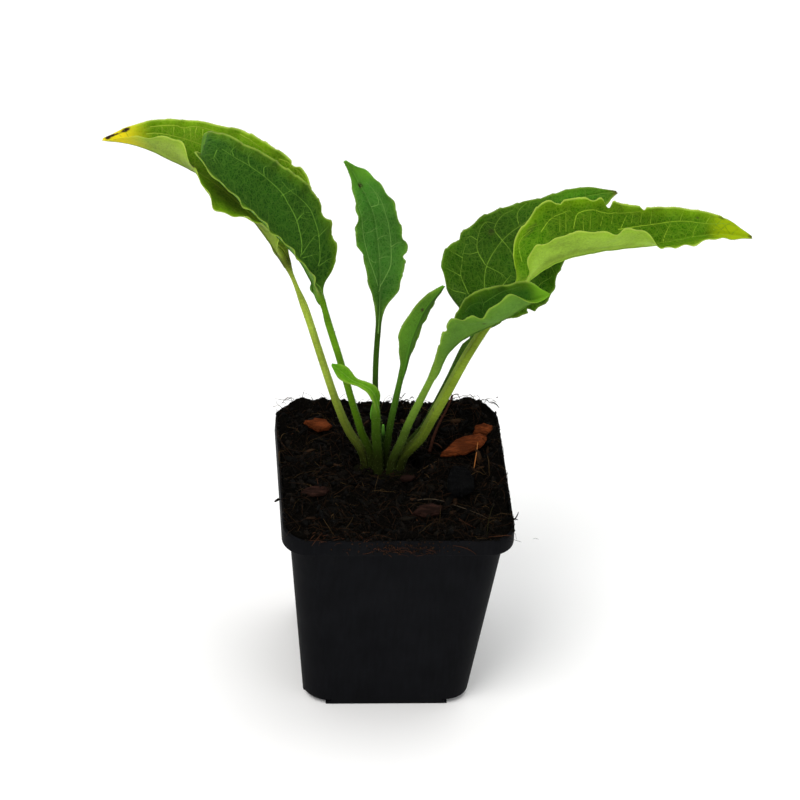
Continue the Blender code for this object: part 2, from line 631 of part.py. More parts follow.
def seat_on(piece, bed):
    """Raises or lowers piece until it is one gap clear of bed, measured straight down."""
    far = Vector((0, 0, 1))
    bed_tree = BVHTree.FromPolygons(*surface(bed))
    own_tree = BVHTree.FromPolygons(*surface(piece))
    gaps = []
    for point in edge_points(piece):
        hit = bed_tree.ray_cast(point + far, -far)[0]
        if hit:
            gaps.append(point.z - hit.z)
    for point in edge_points(bed):
        hit = own_tree.ray_cast(point - far, far)[0]
        if hit and point.z > POT_HEIGHT / 2:
            gaps.append(hit.z - point.z)
    for vertex in piece.data.vertices:
        vertex.co.z += GAP - min(gaps)


def surface(piece):
    mesh = piece.data
    return [v.co for v in mesh.vertices], [tuple(face.vertices) for face in mesh.polygons]


def edge_points(piece):
    """Points along every edge, both ends among them."""
    mesh = piece.data
    for edge in mesh.edges:
        start, end = (mesh.vertices[k].co for k in edge.vertices)
        for step in range(5):
            yield start.lerp(end, step / 4)


def build_chip(name, soil):
    """A flat, torn chip: three outlines above each other with corners drawn in and out."""
    x, y, length, width, thickness, turn, draw, finish = CHIPS[name]
    random = np.random.default_rng(draw)
    angle = np.linspace(0, 2 * pi, CHIP_CORNERS, endpoint=False)
    reach = 1 + random.uniform(*CHIP_REACH, CHIP_CORNERS)
    long_way = length / 2 * np.cos(angle) * reach
    cross_way = width / 2 * np.sin(angle) * reach
    rings = []
    for share, level in CHIP_PROFILE:
        rough = random.uniform(-CHIP_ROUGHNESS, CHIP_ROUGHNESS, CHIP_CORNERS)
        rise = SOIL_TOP + thickness * (level + rough)
        rings.append(np.stack([long_way * share, cross_way * share, rise], axis=1))
    points, faces = lofted(rings)
    c, s = cos(radians(turn)), sin(radians(turn))
    points[:, :2] = points[:, :2] @ np.array([[c, s], [-s, c]]) + (x, y)
    chip = add_object(name, points, faces, finish, smooth_angle=30)
    triangulate(chip)
    seat_on(chip, soil)
    return chip


def triangulate(piece):
    work = bmesh.new()
    work.from_mesh(piece.data)
    bmesh.ops.triangulate(work, faces=work.faces)
    work.to_mesh(piece.data)
    work.free()


def build_dry_stalk(soil):
    radii = np.linspace(1, 0.6, len(STALK_PATH)) * STALK_RADIUS
    stalk = add_object("dry_stalk", *lofted(tube(STALK_PATH, radii)), "dry stalk")
    seat_on(stalk, soil)
    return stalk


def main():
    clear_scene()
    build_pot()
    soil = build_soil()
    for name in CHIPS:
        build_chip(name, soil)
    build_dry_stalk(soil)
    build_crown()
    for name, leaf in LEAVES.items():
        build_leaf(name, leaf)


main()
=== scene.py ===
"""A young coneflower in a square nursery pot, dressed for its portrait.

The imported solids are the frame. Finer pieces stand for them: leaves with veins, teeth and
hairs, a pot with rounded edges, and potting mix with crumbs and fibres.
Run it as a script. It is laid out as a Blender add-on.
"""

from math import cos, pi, radians, sin

import bpy
import numpy as np
from bpy.props import FloatProperty, FloatVectorProperty, IntProperty, PointerProperty
from mathutils import Matrix, Vector


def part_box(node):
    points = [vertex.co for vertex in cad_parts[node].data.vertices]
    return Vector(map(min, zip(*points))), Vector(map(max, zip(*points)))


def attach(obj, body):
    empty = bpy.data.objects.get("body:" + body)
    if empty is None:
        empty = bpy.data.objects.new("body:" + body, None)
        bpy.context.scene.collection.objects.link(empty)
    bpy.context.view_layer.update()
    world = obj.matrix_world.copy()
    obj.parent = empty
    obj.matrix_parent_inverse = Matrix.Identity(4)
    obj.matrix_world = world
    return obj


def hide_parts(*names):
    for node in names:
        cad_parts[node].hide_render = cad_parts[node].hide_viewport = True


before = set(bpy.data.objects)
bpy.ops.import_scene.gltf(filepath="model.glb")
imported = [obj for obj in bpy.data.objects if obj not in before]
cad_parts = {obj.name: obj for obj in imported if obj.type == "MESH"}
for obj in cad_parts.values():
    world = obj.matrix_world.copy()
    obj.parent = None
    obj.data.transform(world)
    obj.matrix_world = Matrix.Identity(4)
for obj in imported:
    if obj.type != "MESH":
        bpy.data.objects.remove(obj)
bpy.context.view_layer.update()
POT_LOW, POT_HIGH = (np.array(corner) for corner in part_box("pot"))
CROWN_LOW, CROWN_HIGH = (np.array(corner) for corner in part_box("crown"))

bl_info = {
    "name": "Potted coneflower",
    "version": (1, 0, 0),
    "blender": (4, 5, 0),
    "location": "3D View > Sidebar > Coneflower",
    "description": "Builds a young coneflower in a nursery pot, piece by piece",
    "category": "Add Mesh",
}

# Metres, but for the tables that say millimetres
MILLIMETRE = 0.001

# Pot
BAND_HEIGHT = 0.007
BAND_FLARE = 0.0002
WALL_TOP_WIDTH = 0.084
WALL_BASE_WIDTH = 0.067
CORNER_RADIUS = 0.0105
WALL = 0.001
FOOT_HEIGHT = 0.0025
FOOT_WIDTH = 0.044
FOOT_SPLAY = 0.0025
FLOOR_THICKNESS = 0.001
DRAIN_RADIUS = 0.0035
DRAIN_OFFSET = 0.0235
POT_HEIGHT = float(POT_HIGH[2])
RIM_WIDTH = float(POT_HIGH[0] - POT_LOW[0]) - 2 * BAND_FLARE

# Soil
GAP = 0.0003
SOIL_TOP = 0.0915
RIPPLE_HEIGHT = 0.0007
FINE_RIPPLE_HEIGHT = 0.0004
BACK_RISE = 0.0016
# Mounds and the dip round the rootstock: x, y, height and radius in millimetres
MOUNDS = ((-30, 37, 3.5, 9), (30, 37, 3.5, 10), (6, -36, 1.2, 12), (-36, -8, 1, 12), (-2, 8, -3, 14))

# Camera, from the fit to the pot
CAMERA_PLACE = (-0.1153, -1.0729, 0.9174)
CAMERA_RIGHT = (0.9962, -0.0687, 0.0533)
CAMERA_UP = (-0.0019, 0.5930, 0.8052)
FOCAL_LENGTH = 154.8
SENSOR_WIDTH = 36.0
PHOTO_SIZE = 800

# Rootstock
CROWN_CENTRE = tuple((CROWN_LOW[:2] + CROWN_HIGH[:2]) / 2)
CROWN_HALF = tuple((CROWN_HIGH[:2] - CROWN_LOW[:2]) / 2)
CROWN_TOP = 0.0885
CROWN_BOTTOM = float(CROWN_LOW[2])
SOCKET_DEPTH = 0.005

# Leaves
STALK_EDGE = 0.00015
GROOVE_DEPTH = 0.00035
GROOVE_WIDTH = 0.0007
KEEL_DEPTH = 0.0013
KEEL_WIDTH = 0.0014
FOOT_SPREAD = 0.25
FOOT_LENGTH = 0.014
FOOT_GATHER = 0.32
GATHER_LENGTH = 0.018
GATHER_PLACE = (-0.0055, 0.0070)
WAVE_DEPTH = 0.0007
WAVE_LENGTH = 0.017
RUFFLE_DEPTH = 0.0007
RUFFLE_LENGTH = 0.0082
STALK_STEP = 0.0016
BLADE_STEP = 0.00065
COLUMN_STEP = 0.00075
# Columns are this power of their share across, so that they crowd towards the margin
COLUMN_POWER = 0.92
VEIN_GROOVE = 0.0001
VEIN_RIDGE = 0.00028
RIB_STEP = 0.0009
RIB_RISE = 0.00006
MIDRIB_WIDTH = 0.0006
KEEL_RIB = 2.2
VEIN_WIDTH = 0.00040
BRANCH_WIDTH = 0.00024
BRANCH_ANGLE = 62
BRANCH_SPACING = 0.0046
BRANCH_REACH = 0.0075
PUFF_WIDTH = 0.0022
TIP_BLEND = 0.11
HAIR_ROOT = 0.00004
# Fleece and lashes as shares of the stalk hairs' number and length
FLEECE_DENSITY = 1.6
FLEECE_LENGTH = 0.35
LASH_LENGTH = 0.5
# Pixels for a metre of depth, and for a step on the blade's grid, where a vein is placed
DEPTH_COST = 20.0
JUMP_COST = 0.01

# The leaves, in millimetres and degrees. A leaf's heading is a level direction, from +X
# towards +Y, and its halves reach out level and square to it. Where the midrib bends
# sharply, steady is how far the blade's cross sections keep to its overall direction.
# A stalk row holds x, y, z and the stalk's half width.
# A blade row holds the midrib's x, y, z, then for the left half and for the right half its
# width, its lift out of the level, and how far it curls up across that width.
# Left and right are those of someone at the rootstock who looks along the leaf.
LEAVES = {
    "leaf_long_left": {"heading": 160, "stalk": (
        (-12, 9, 89.5, 1.6), (-17, 11, 103, 1.6), (-22.8, 13, 118, 1.5), (-29.4, 16, 137.5, 1.4),
        (-36, 19, 157.5, 1.4), (-43, 22, 175, 1.4),
    ), "blade": (
        (-46, 24, 181, 3, 20, 10, 5, 25, 20),
        (-49.5, 26, 184.5, 6.5, 60, 10, 16, 32, 20),
        (-53.5, 28, 189.5, 9.5, 50, 20, 26.5, 38, 25),
        (-59.5, 30, 195.5, 13, 24, 40, 27, 40, 30),
        (-66.5, 32, 201.5, 16, 10, 40, 25.5, 40, 30),
        (-74, 34, 207, 15.5, 18, 30, 23, 40, 30),
        (-80.5, 36, 210.5, 13.5, 39, 15, 19.5, 40, 25),
        (-88, 38, 213.5, 12.5, 68, 10, 17, 40, 20),
        (-95, 40, 216, 9.5, 70, 0, 13, 42, 15),
        (-104, 42, 218, 5, 58, 0, 7, 48, 10),
        (-114.5, 44, 218, 0.6, 20, 0, 0.6, 20, 0),
    )},
    "leaf_dark_left": {"heading": 178, "stalk": (
        (-8.2, 8, 89.5, 1.5), (-12.7, 6, 108.5, 1.5), (-17.1, 5, 124, 1.4), (-22.9, 3, 145.5, 1.4),
        (-28, 2, 163, 1.4), (-30.5, 1, 172.5, 1.4),
    ), "blade": (
        (-32, 1, 177, 2.5, -5, 10, 2.5, 45, 10),
        (-34.5, 1, 183, 5.5, 10, 15, 13, 45, 15),
        (-40, 0, 194, 8, 14, 8, 19, 45, 20),
        (-47.5, -1, 203.5, 9, 16, 6, 23.5, 42, 25),
        (-55.5, -2, 213, 10, 17, 6, 22.5, 40, 25),
        (-64, -3, 223, 10, 17, 6, 20.5, 37, 25),
        (-72, -4, 232, 8.5, 17, 6, 19, 28, 25),
        (-76.5, -4, 237.5, 6, 16, 5, 20.5, 8, 12),
        (-79.5, -3, 241, 2.5, 10, 0, 22.5, -14, 5),
        (-80.5, -2, 242, 0.6, 0, 0, 4, -14, 0),
    )},
    "leaf_upright": {"heading": 95, "stalk": (
        (-3, 12.5, 89.5, 1.2), (-5, 13, 103, 1.2), (-7.2, 15, 119, 1.1), (-7.5, 19, 133, 1.1),
        (-7, 23, 143, 1.1),
    ), "blade": (
        (-6.7, 25, 147.5, 1.2, 10, 0, 1.2, 10, 0),
        (-6.5, 27, 152.5, 2.1, 20, 10, 2.3, 25, 10),
        (-6.5, 30, 159.7, 4.5, 20, 15, 7.8, 30, 15),
        (-6.8, 34, 169, 7, 25, 15, 10.5, 30, 20),
        (-7.7, 38, 176.8, 10, 25, 15, 12, 35, 25),
        (-9.5, 41.8, 186.2, 8.5, 30, 15, 10.3, 40, 25),
        (-12.5, 44, 193, 6, 30, 10, 9.7, 35, 20),
        (-15.7, 45, 198.5, 3.5, 30, 5, 7.8, 30, 10),
        (-18.6, 45, 204, 1.6, 30, 0, 4.2, 20, 0),
        (-21.6, 44, 209, 0.6, 20, 0, 0.6, 20, 0),
    )},
    "leaf_slim": {"heading": -75, "stalk": (
        (-1.1, 8.2, 89.5, 1.2), (-1.6, 7.5, 107.5, 1.2), (0, 7, 122.5, 1.2), (1.5, 6, 135.2, 1.2),
    ), "blade": (
        (2, 5, 140.5, 1.8, 18, 0, 1.5, 40, 0),
        (3, 4, 147.5, 2.7, 18, 10, 3.8, 40, 20),
        (4, 3, 155, 3.7, 18, 10, 5, 40, 30),
        (5.5, 2, 161.7, 3.9, 18, 10, 4.4, 40, 30),
        (8, 1, 169.7, 3.8, 18, 10, 3.5, 40, 20),
        (10.8, 0, 175.7, 3, 18, 0, 2.5, 40, 10),
        (14.8, 0, 181.5, 0.6, 20, 0, 0.6, 20, 0),
    )},
    "leaf_young": {"heading": 185, "stalk": (
        (-4.6, 4.4, 89.5, 1.8), (-6.5, 3, 106, 1.9), (-7.5, 1, 118, 1.9),
    ), "blade": (
        (-7.9, 0, 124.5, 2.4, -30, 30, 2.6, 50, 20),
        (-8.7, -1, 130, 2.5, -40, 30, 2.8, 45, 30),
        (-10.8, -2, 134, 2.2, -45, 30, 2.3, 40, 30),
        (-13.8, -3, 136.8, 1.6, -45, 20, 1.7, 35, 20),
        (-16.7, -3.6, 138.7, 1.5, -45, 0, 1.6, 35, 0),
        (-18.6, -4, 140, 2, -45, 10, 2.3, 40, 10),
        (-21.1, -4.2, 142.5, 2.8, -45, 10, 3, 40, 10),
        (-23.5, -4.5, 145, 2.7, -45, 0, 2.4, 40, 0),
        (-26.5, -5, 148, 0.6, -30, 0, 0.6, 20, 0),
    )},
    "leaf_round_right": {"heading": 45, "steady": 0.8, "stalk": (
        (6.2, 11.5, 89.5, 1.7), (11.4, 12.5, 100.5, 1.7), (16.3, 13, 113.7, 1.7),
        (21.7, 13.5, 128.5, 1.6), (26.7, 14, 143, 1.6), (30.5, 15, 151, 1.6),
    ), "blade": (
        (32.4, 16, 155.5, 14, 15, 0, 6.7, -20, 0),
        (33, 18, 160.3, 21.2, 15, 10, 10.5, -20, 20),
        (33, 20, 166, 22, 15, 15, 17.3, -20, 25),
        (33.6, 24, 173.8, 17, 15, 20, 26, -20, 25),
        (36.1, 27, 178.2, 15, 13, 20, 29, -18, 25),
        (40.5, 30, 183.4, 13, 12, 20, 28, -18, 25),
        (47, 33, 187.6, 10.4, 12, 20, 24, -18, 20),
        (56.7, 36, 192.8, 6, 12, 15, 17.5, -16, 15),
        (68, 38, 196.5, 5, 15, 10, 11.5, -15, 10),
        (77.5, 40, 197.7, 3.3, 15, 0, 5.3, -15, 0),
        (84.5, 41, 198, 0.6, 0, 0, 0.6, 0, 0),
    )},
    "leaf_long_right": {"heading": 6, "stalk": (
        (5.8, 4.6, 89.5, 1.9), (11.5, 4, 109, 2), (18.7, 3, 128.5, 2), (26.2, 2, 148.7, 1.9),
        (33, 1, 164, 1.8), (39.5, 0, 176.5, 1.8),
    ), "blade": (
        (44, 0, 182.7, 3.5, 30, 0, 2.5, 25, 0),
        (47.8, 1, 185.7, 12, 42, 20, 7, 45, 10),
        (53.5, 2, 190.2, 18.8, 39, 30, 13.5, 70, 30),
        (59, 2, 193.5, 22.8, 41, 30, 14.8, 70, 30),
        (66.5, 3, 195.3, 21.8, 41, 30, 15, 63, 25),
        (75.5, 5, 195.8, 20.8, 42, 30, 14.5, 57, 20),
        (86, 7, 195.8, 16.8, 41, 25, 13.8, 57, 15),
        (96.5, 9, 195.6, 14.5, 43, 20, 12, 22, 0),
        (102.5, 10, 196.2, 13.7, 41, 15, 11, 18, 0),
        (110, 11, 197.3, 11.2, 41, 10, 9, 18, 0),
        (122, 12, 198, 7, 43, 5, 5.5, 13, 0),
        (133.5, 12, 196.5, 0.6, 20, 0, 0.6, 0, 0),
    )},
    "leaf_curled_right": {"heading": -20, "stalk": (
        (1.4, 3.4, 89.5, 1.6), (3.5, 2, 110.5, 1.7), (8, 0, 126.5, 1.6), (12.1, -2, 140.2, 1.6),
    ), "blade": (
        (14, -4, 148.5, 2.2, 30, 0, 2.7, 40, 0),
        (17.2, -6, 155.7, 4.2, 38, 0, 4.8, 50, 10),
        (20.7, -8, 161.8, 7.7, 45, 20, 8.2, 50, 20),
        (25.2, -10, 167, 12.3, 54, 30, 12.2, 60, 20),
        (30.4, -12, 171.5, 13.7, 58, 30, 12.5, 49, 30),
        (35.5, -14, 176, 12.7, 58, 30, 11.5, 38, 30),
        (40.6, -16, 181, 11.4, 50, 30, 10.7, 55, 20),
        (45.8, -17, 185.7, 9, 45, 20, 8.5, 48, 0),
        (49.3, -18, 188.5, 4.7, 42, 10, 6, 10, 0),
        (52.5, -18.5, 190.5, 0.6, 20, 0, 0.6, 0, 0),
    )},
}

# Side veins of each leaf as they show in the photo, read one by one: the width in millimetres, and
# points in pixels to the right and down
MAIN, SIDE, CROSS = 0.50, 0.42, 0.30
VEINS = {
    "leaf_long_left": (
        (SIDE, (146, 134), (160, 133.5), (202, 145)),
        (SIDE, (150, 127), (175, 125.5), (183, 128), (197, 126.5), (226, 134)),
        (CROSS, (184, 129), (185, 139)), (CROSS, (174, 127), (173, 136)),
        (CROSS, (190, 128), (191, 142)), (CROSS, (197, 127), (195, 134), (197, 142)),
        (CROSS, (162, 127), (162, 133)), (CROSS, (203, 129), (202, 144)),
        (CROSS, (240, 134), (266, 152)), (CROSS, (279, 159), (290, 165), (300, 173), (307, 182)),
    ),
    "leaf_dark_left": (
        (MAIN, (301, 257), (301.7, 243), (297, 221), (289, 205), (273, 184), (222, 149)),
        (SIDE, (318, 266), (320, 254), (313, 215), (292, 192), (282, 182)),
        (CROSS, (302, 255), (315, 236), (319, 238)), (CROSS, (319, 266), (331, 258)),
        (CROSS, (264, 176), (264, 168), (268, 166), (276, 167)),
        (CROSS, (234, 156), (232, 150), (238, 145)), (CROSS, (297, 221), (304, 213), (312, 213)),
        (CROSS, (303, 258), (320, 254)), (CROSS, (318, 237), (327, 228), (331, 222)),
        (CROSS, (281, 196), (296, 188)), (CROSS, (217, 150), (214, 158), (216, 163)),
        (CROSS, (250, 166), (248, 158), (252, 152)),
    ),
    "leaf_upright": (
        (MAIN, (379, 292), (389, 270), (391.4, 258), (391, 245), (381, 200), (375, 192)),
        (SIDE, (378, 286), (372.5, 269), (368, 256), (364.5, 241), (357, 200)),
        (CROSS, (371, 207), (378.5, 204), (377, 196), (371, 187), (366, 182)),
        (CROSS, (378.8, 259), (384, 257), (391, 257)), (CROSS, (377, 240), (383, 236), (390, 236)),
        (CROSS, (378.8, 262), (373, 262), (369, 258)), (CROSS, (376, 228), (370, 232), (363, 233)),
        (CROSS, (391, 247), (397, 243), (402, 242)),
    ),
    "leaf_slim": (),
    "leaf_young": (),
    "leaf_round_right": (
        (MAIN, (485.5, 265), (478, 252), (477, 243), (480, 229)),
        (SIDE, (468.5, 294), (461, 276), (462, 263), (466, 244)),
        (SIDE, (501, 239), (495, 231), (496, 224), (503, 215), (513, 210)),
        (SIDE, (501, 239), (508, 247), (513, 256)),
        (SIDE, (519, 225), (517, 216), (520, 209), (527, 203)), (SIDE, (502, 287), (511, 275)),
        (CROSS, (486, 266), (503, 275), (508, 283)), (CROSS, (478, 252), (470, 254), (463, 253)),
        (CROSS, (477, 240), (470, 236), (466, 240)), (CROSS, (461, 276), (446, 268)),
        (CROSS, (463, 258), (449, 250)), (CROSS, (480, 229), (486, 222), (496, 224)),
        (CROSS, (535, 290), (543, 282), (552, 276)), (CROSS, (466, 294), (456, 292), (448, 287)),
        (CROSS, (545, 260), (552, 268), (556, 278)),
    ),
    "leaf_long_right": (
        (SIDE, (541, 232), (566, 211.5), (572, 212)),
        (MAIN, (573.6, 229), (576, 217), (580, 212.5), (594, 210), (606, 213), (645, 212.5)),
        (SIDE, (600.5, 226), (603, 216)), (SIDE, (621, 228), (627, 215)),
        (MAIN, (618, 229.5), (645, 225.5), (675, 221.5), (690, 221.5), (700, 223), (715, 224),
         (735, 226)), (SIDE, (663, 242), (665, 235), (671, 223)),
        (CROSS, (692, 238), (694, 231), (698, 224)), (SIDE, (507, 262), (513, 238), (524, 226)),
        (CROSS, (522, 262), (519, 244), (531, 230)), (CROSS, (590, 229), (591, 213)),
        (CROSS, (611.5, 224), (613, 214)), (CROSS, (584, 231), (583, 224), (584, 214)),
        (CROSS, (640.5, 222.5), (642, 213)), (CROSS, (650, 225), (652, 211)),
        (CROSS, (631.5, 223), (633, 214)), (CROSS, (560, 232), (560, 216)),
        (CROSS, (566, 232), (566, 213)), (CROSS, (680, 221), (684, 210)),
        (CROSS, (706, 223), (712, 214)), (CROSS, (712, 233), (717, 224)),
    ),
    "leaf_curled_right": (
        (SIDE, (465, 312), (470, 306), (477, 303), (484, 303)),
        (SIDE, (484, 303), (500, 293), (512, 289), (522, 287)), (CROSS, (484, 303), (482, 312)),
        (CROSS, (483, 303), (481, 297), (478, 293)),
    ),
}
# Dark spots: share of the blade's length, share across, radius in millimetres, strength
SPOTS = {
    "leaf_long_left": ((0.978, 0.6, 1.1, 1), (0.957, 0.7, 0.7, 1), (0.942, 0.7, 0.5, 0.9),
        (0.913, 0.8, 1.1, 1), (0.905, 0.8, 0.9, 1), (0.61, -0.97, 1.2, 0.9)),
    "leaf_upright": ((0.821, 0, 1.1, 1),),
    "leaf_slim": ((0.72, 0.2, 0.6, 0.9),),
    "leaf_round_right": ((0.996, 0, 1.2, 0.5), (0.42, -0.45, 1.5, 0.35)),
    "leaf_long_right": ((0.996, 0, 1, 0.7), (0.801, -0.69, 0.7, 0.6), (0.885, -0.88, 0.7, 0.6),
        (0.827, 0.12, 0.7, 0.5), (0.47, -0.85, 1, 0.4), (0.2, -0.8, 1.5, 0.3)),
    "leaf_curled_right": ((0.6, 0.4, 0.7, 0.9),),
}
# Bites in the margin: side, share of the blade's length, depth and half width in millimetres
BITES = {
    "leaf_long_left": ((-1, 0.17, 1.2, 1.2), (-1, 0.24, 1.4, 1.1), (-1, 0.56, 2, 2.2),
        (1, 0.17, 1.8, 1.3), (1, 0.28, 1.6, 1.3), (-1, 0.48, 1.8, 1.4)),
    "leaf_dark_left": ((1, 0.3, 1.4, 1.6), (1, 0.2, 1, 1.2), (-1, 0.06, 1.2, 1)),
    "leaf_upright": ((1, 0.41, 1, 1), (1, 0.39, -0.5, 0.7)),
    "leaf_round_right": ((1, 0.25, 2.4, 1), (-1, 0.3, 1, 1.6), (1, 0.03, -1.2, 0.8)),
    "leaf_long_right": ((-1, 0.3, 2, 1.6), (-1, 0.47, 3.5, 1.3), (-1, 0.42, 1.6, 1.6),
        (1, 0.13, 2.2, 1.3), (1, 0.24, 2.2, 1.6), (-1, 0.6, 1.4, 1.2)),
    "leaf_curled_right": ((1, 0.4, 1, 1.2), (-1, 0.3, 0.8, 1.4)),
}
# Colours of each leaf: upper side, under side, veins, stalk, tip, lime margin (0 to 1), which is partly
# yellowing and partly painted light shining through the thin margin, and the share of the blade's length
# where the tip's colour begins
LOOKS = {
    "leaf_long_left": ((0.07, 0.185, 0.001), (0.25, 0.36, 0.055), (0.33, 0.46, 0.04),
                       (0.27, 0.36, 0.04), (0.62, 0.52, 0.01), 0.85, 0.81),
    "leaf_dark_left": ((0.009, 0.044, 0.003), (0.06, 0.15, 0.015), (0.13, 0.28, 0.03),
                       (0.085, 0.2, 0.006), (0.014, 0.06, 0.003), 0.45, 0.98),
    "leaf_upright": ((0.025, 0.11, 0.009), (0.09, 0.21, 0.025), (0.17, 0.34, 0.07),
                     (0.03, 0.075, 0.006), (0.1, 0.27, 0.02), 0.15, 0.8),
    "leaf_slim": ((0.045, 0.14, 0.01), (0.052, 0.145, 0.012), (0.11, 0.24, 0.03),
                  (0.06, 0.16, 0.012), (0.085, 0.22, 0.012), 0.2, 0.85),
    "leaf_young": ((0.07, 0.23, 0.005), (0.09, 0.25, 0.02), (0.18, 0.36, 0.035),
                   (0.06, 0.145, 0.008), (0.085, 0.25, 0.008), 0.25, 0.85),
    "leaf_round_right": ((0.011, 0.052, 0.001), (0.06, 0.13, 0.012), (0.16, 0.3, 0.028),
                         (0.035, 0.08, 0.008), (0.11, 0.06, 0.006), 0.2, 0.955),
    "leaf_long_right": ((0.029, 0.104, 0.0), (0.29, 0.46, 0.05), (0.26, 0.42, 0.025),
                        (0.185, 0.27, 0.022), (0.25, 0.34, 0.003), 0.8, 0.82),
    "leaf_curled_right": ((0.014, 0.058, 0.003), (0.094, 0.21, 0.027), (0.06, 0.15, 0.015),
                          (0.13, 0.24, 0.025), (0.11, 0.26, 0.01), 0.35, 0.88),
}
# Painted shade and painted light, and in places the leaf's own lighter and darker green: share of
# the blade's length, share across (left below 0), the reach of both, and the factor on the colour
PAINTED_SHADE_LIGHT_AND_TONES = {
    "leaf_long_left": ((0.4, -0.1, 0.27, 0.6, 0.17), (0.3, 0.9, 0.25, 0.5, 0.78),
        (0.03, 0, 0.055, 2, 0.16), (0.7, 0.3, 0.12, 0.6, 0.85)),
    "leaf_dark_left": ((0.1, 0.6, 0.12, 0.5, 0.85), (0.55, 0.35, 0.2, 0.3, 1.15)),
    "leaf_upright": ((0.12, 0, 0.14, 1, 0.65), (0.88, 0, 0.16, 1.2, 2.1)),
    "leaf_slim": ((0.1, 0, 0.2, 1, 0.85),),
    "leaf_young": ((0.3, 0, 0.08, 1, 0.8),),
    "leaf_round_right": ((0.5, -0.3, 0.25, 0.8, 0.72), (0.8, -0.3, 0.16, 1.2, 2.4),
        (0.2, 0.8, 0.2, 0.5, 0.85)),
    "leaf_long_right": ((0.14, -0.5, 0.1, 0.45, 1.45), (0.34, -0.35, 0.12, 0.4, 0.8),
        (0.6, -0.7, 0.16, 0.5, 0.78), (0.03, 0, 0.05, 1, 1.2), (0.35, 0.15, 0.3, 0.1, 0.74)),
    "leaf_curled_right": ((0.35, -0.2, 0.14, 0.5, 0.75), (0.95, 0, 0.12, 1, 1.1)),
}
PALE_LEAVES = ("leaf_long_left", "leaf_long_right", "leaf_slim", "leaf_young")

# Bark chips: x, y, length and width in millimetres, turn in degrees, draw, colour
CHIPS = {
    "bark_chip_orange": (29.5, 13.8, 22, 9, 31, 3, "orange bark"),
    "bark_chip_scrap": (37.7, 25, 8, 6, 25, 5, "orange bark"),
    "bark_chip_back": (-27.8, 27, 10, 6.5, -10, 8, "orange bark"),
    "bark_chip_left": (-31, -14, 12, 6, 14, 11, "dull bark"),
    "bark_chip_front": (12, -26.5, 12, 8, 20, 14, "dull bark"),
    "bark_chip_small": (5.5, -4.5, 7, 3.5, 10, 17, "dull bark"),
    "bark_chip_dark": (25.5, -9.5, 25, 11.5, 84, 20, "dark bark"),
}
CHIP_CORNERS = 10
CHIP_REACH = (-0.22, 0.12)

# Dried stalk, lying on the soil towards the back rim, in millimetres
STALK_RADIUS = 0.6
STALK_PATH = (
    (15.5, 13, 92), (17.5, 20, 94), (20.5, 28, 95.5), (24, 35, 97.5), (26.5, 40.5, 100),
)

# Fibres: how high they arch, and the share whose far end stands up, with its least and most rise
FIBRE_ARCH = 0.0022
LOOSE_ENDS = 0.14
LOOSE_RISE = (0.0010, 0.0035)
BAND_CRUMBS = 170
# Loose strands in millimetres: start, a point half way, end, width; and their tint
STRAWS = (
    ((35.2, 17.6, 96), (33.8, 8.7, 95), (32.2, 1.6, 92), 0.5, "orange"),
    ((5.8, -18.3, 91.5), (13.6, -17.7, 92.5), (20.2, -19.6, 92), 0.26, "pale"),
    ((20.2, -19.6, 92), (27.9, -25.3, 93), (35, -29.1, 92), 0.18, "pale"),
    ((-30.6, -7.5, 95), (-30, -12.6, 93), (-30.6, -17, 91.5), 0.28, "red"),
    ((-32.6, -8.1, 93.5), (-33.5, -11.9, 92.5), (-34.5, -17, 91.5), 0.22, "pale"),
    ((-39.3, 23.9, 91.5), (-36.9, 25.9, 92.5), (-35.5, 29.2, 91.5), 0.25, "red"),
    ((4.5, -24, 93), (6.5, -29.6, 92.5), (8.1, -34.6, 91.5), 0.4, "red"),
    ((23.6, -29.7, 92.5), (26.2, -32.2, 92), (29.9, -34.7, 91.5), 0.3, "red"),
    ((37.8, -25.4, 96), (35.3, -32.3, 95), (33.3, -43.4, 92.5), 0.3, "moss"),
    ((-29.9, -40.2, 93.6), (-32.4, -44.5, 93.8), (-34.3, -45.4, 91.2), 0.3, "red"),
    ((20.1, -45.4, 91.4), (25.6, -45.4, 89.9), (29.6, -45.4, 86.8), 0.28, "red"),
    ((34.1, -42.9, 93.6), (38.7, -42.8, 94), (43.5, -42.1, 93.4), 0.35, "red"),
    ((39.5, -42.5, 93.7), (43.1, -44.5, 93.8), (46.6, -45.9, 93.5), 0.2, "dark"),
    ((43.2, -32.9, 93.5), (45, -33.5, 95), (46.7, -30.4, 96), 0.6, "dark"),
    ((-33.9, 45.4, 92), (-33.6, 46.8, 95), (-32.9, 46.8, 98), 0.22, "dark"),
    ((-42, 45.4, 92), (-40.6, 44.7, 95), (-39.1, 43.4, 97), 0.3, "red"),
    ((-47.5, -20.1, 93), (-46.3, -19.5, 93.5), (-45.4, -17, 92), 1.2, "dark"),
    ((5.9, 46.9, 93), (6.9, 45.5, 96), (8, 45.5, 97.5), 0.4, "dark"),
    ((27.4, 46.3, 94), (26.7, 44.9, 97), (25.3, 44.9, 99), 0.4, "red"),
    ((26.2, 40, 100), (27.6, 40.2, 100.8), (29.2, 40.5, 100.5), 0.5, "red"),
    ((25.8, 39.5, 100), (25.2, 40.8, 101), (24.4, 42.5, 101.2), 0.45, "red"),
    ((17.2, 17.3, 93.5), (19, 15.8, 94), (20.6, 14, 93.2), 0.5, "red"),
)
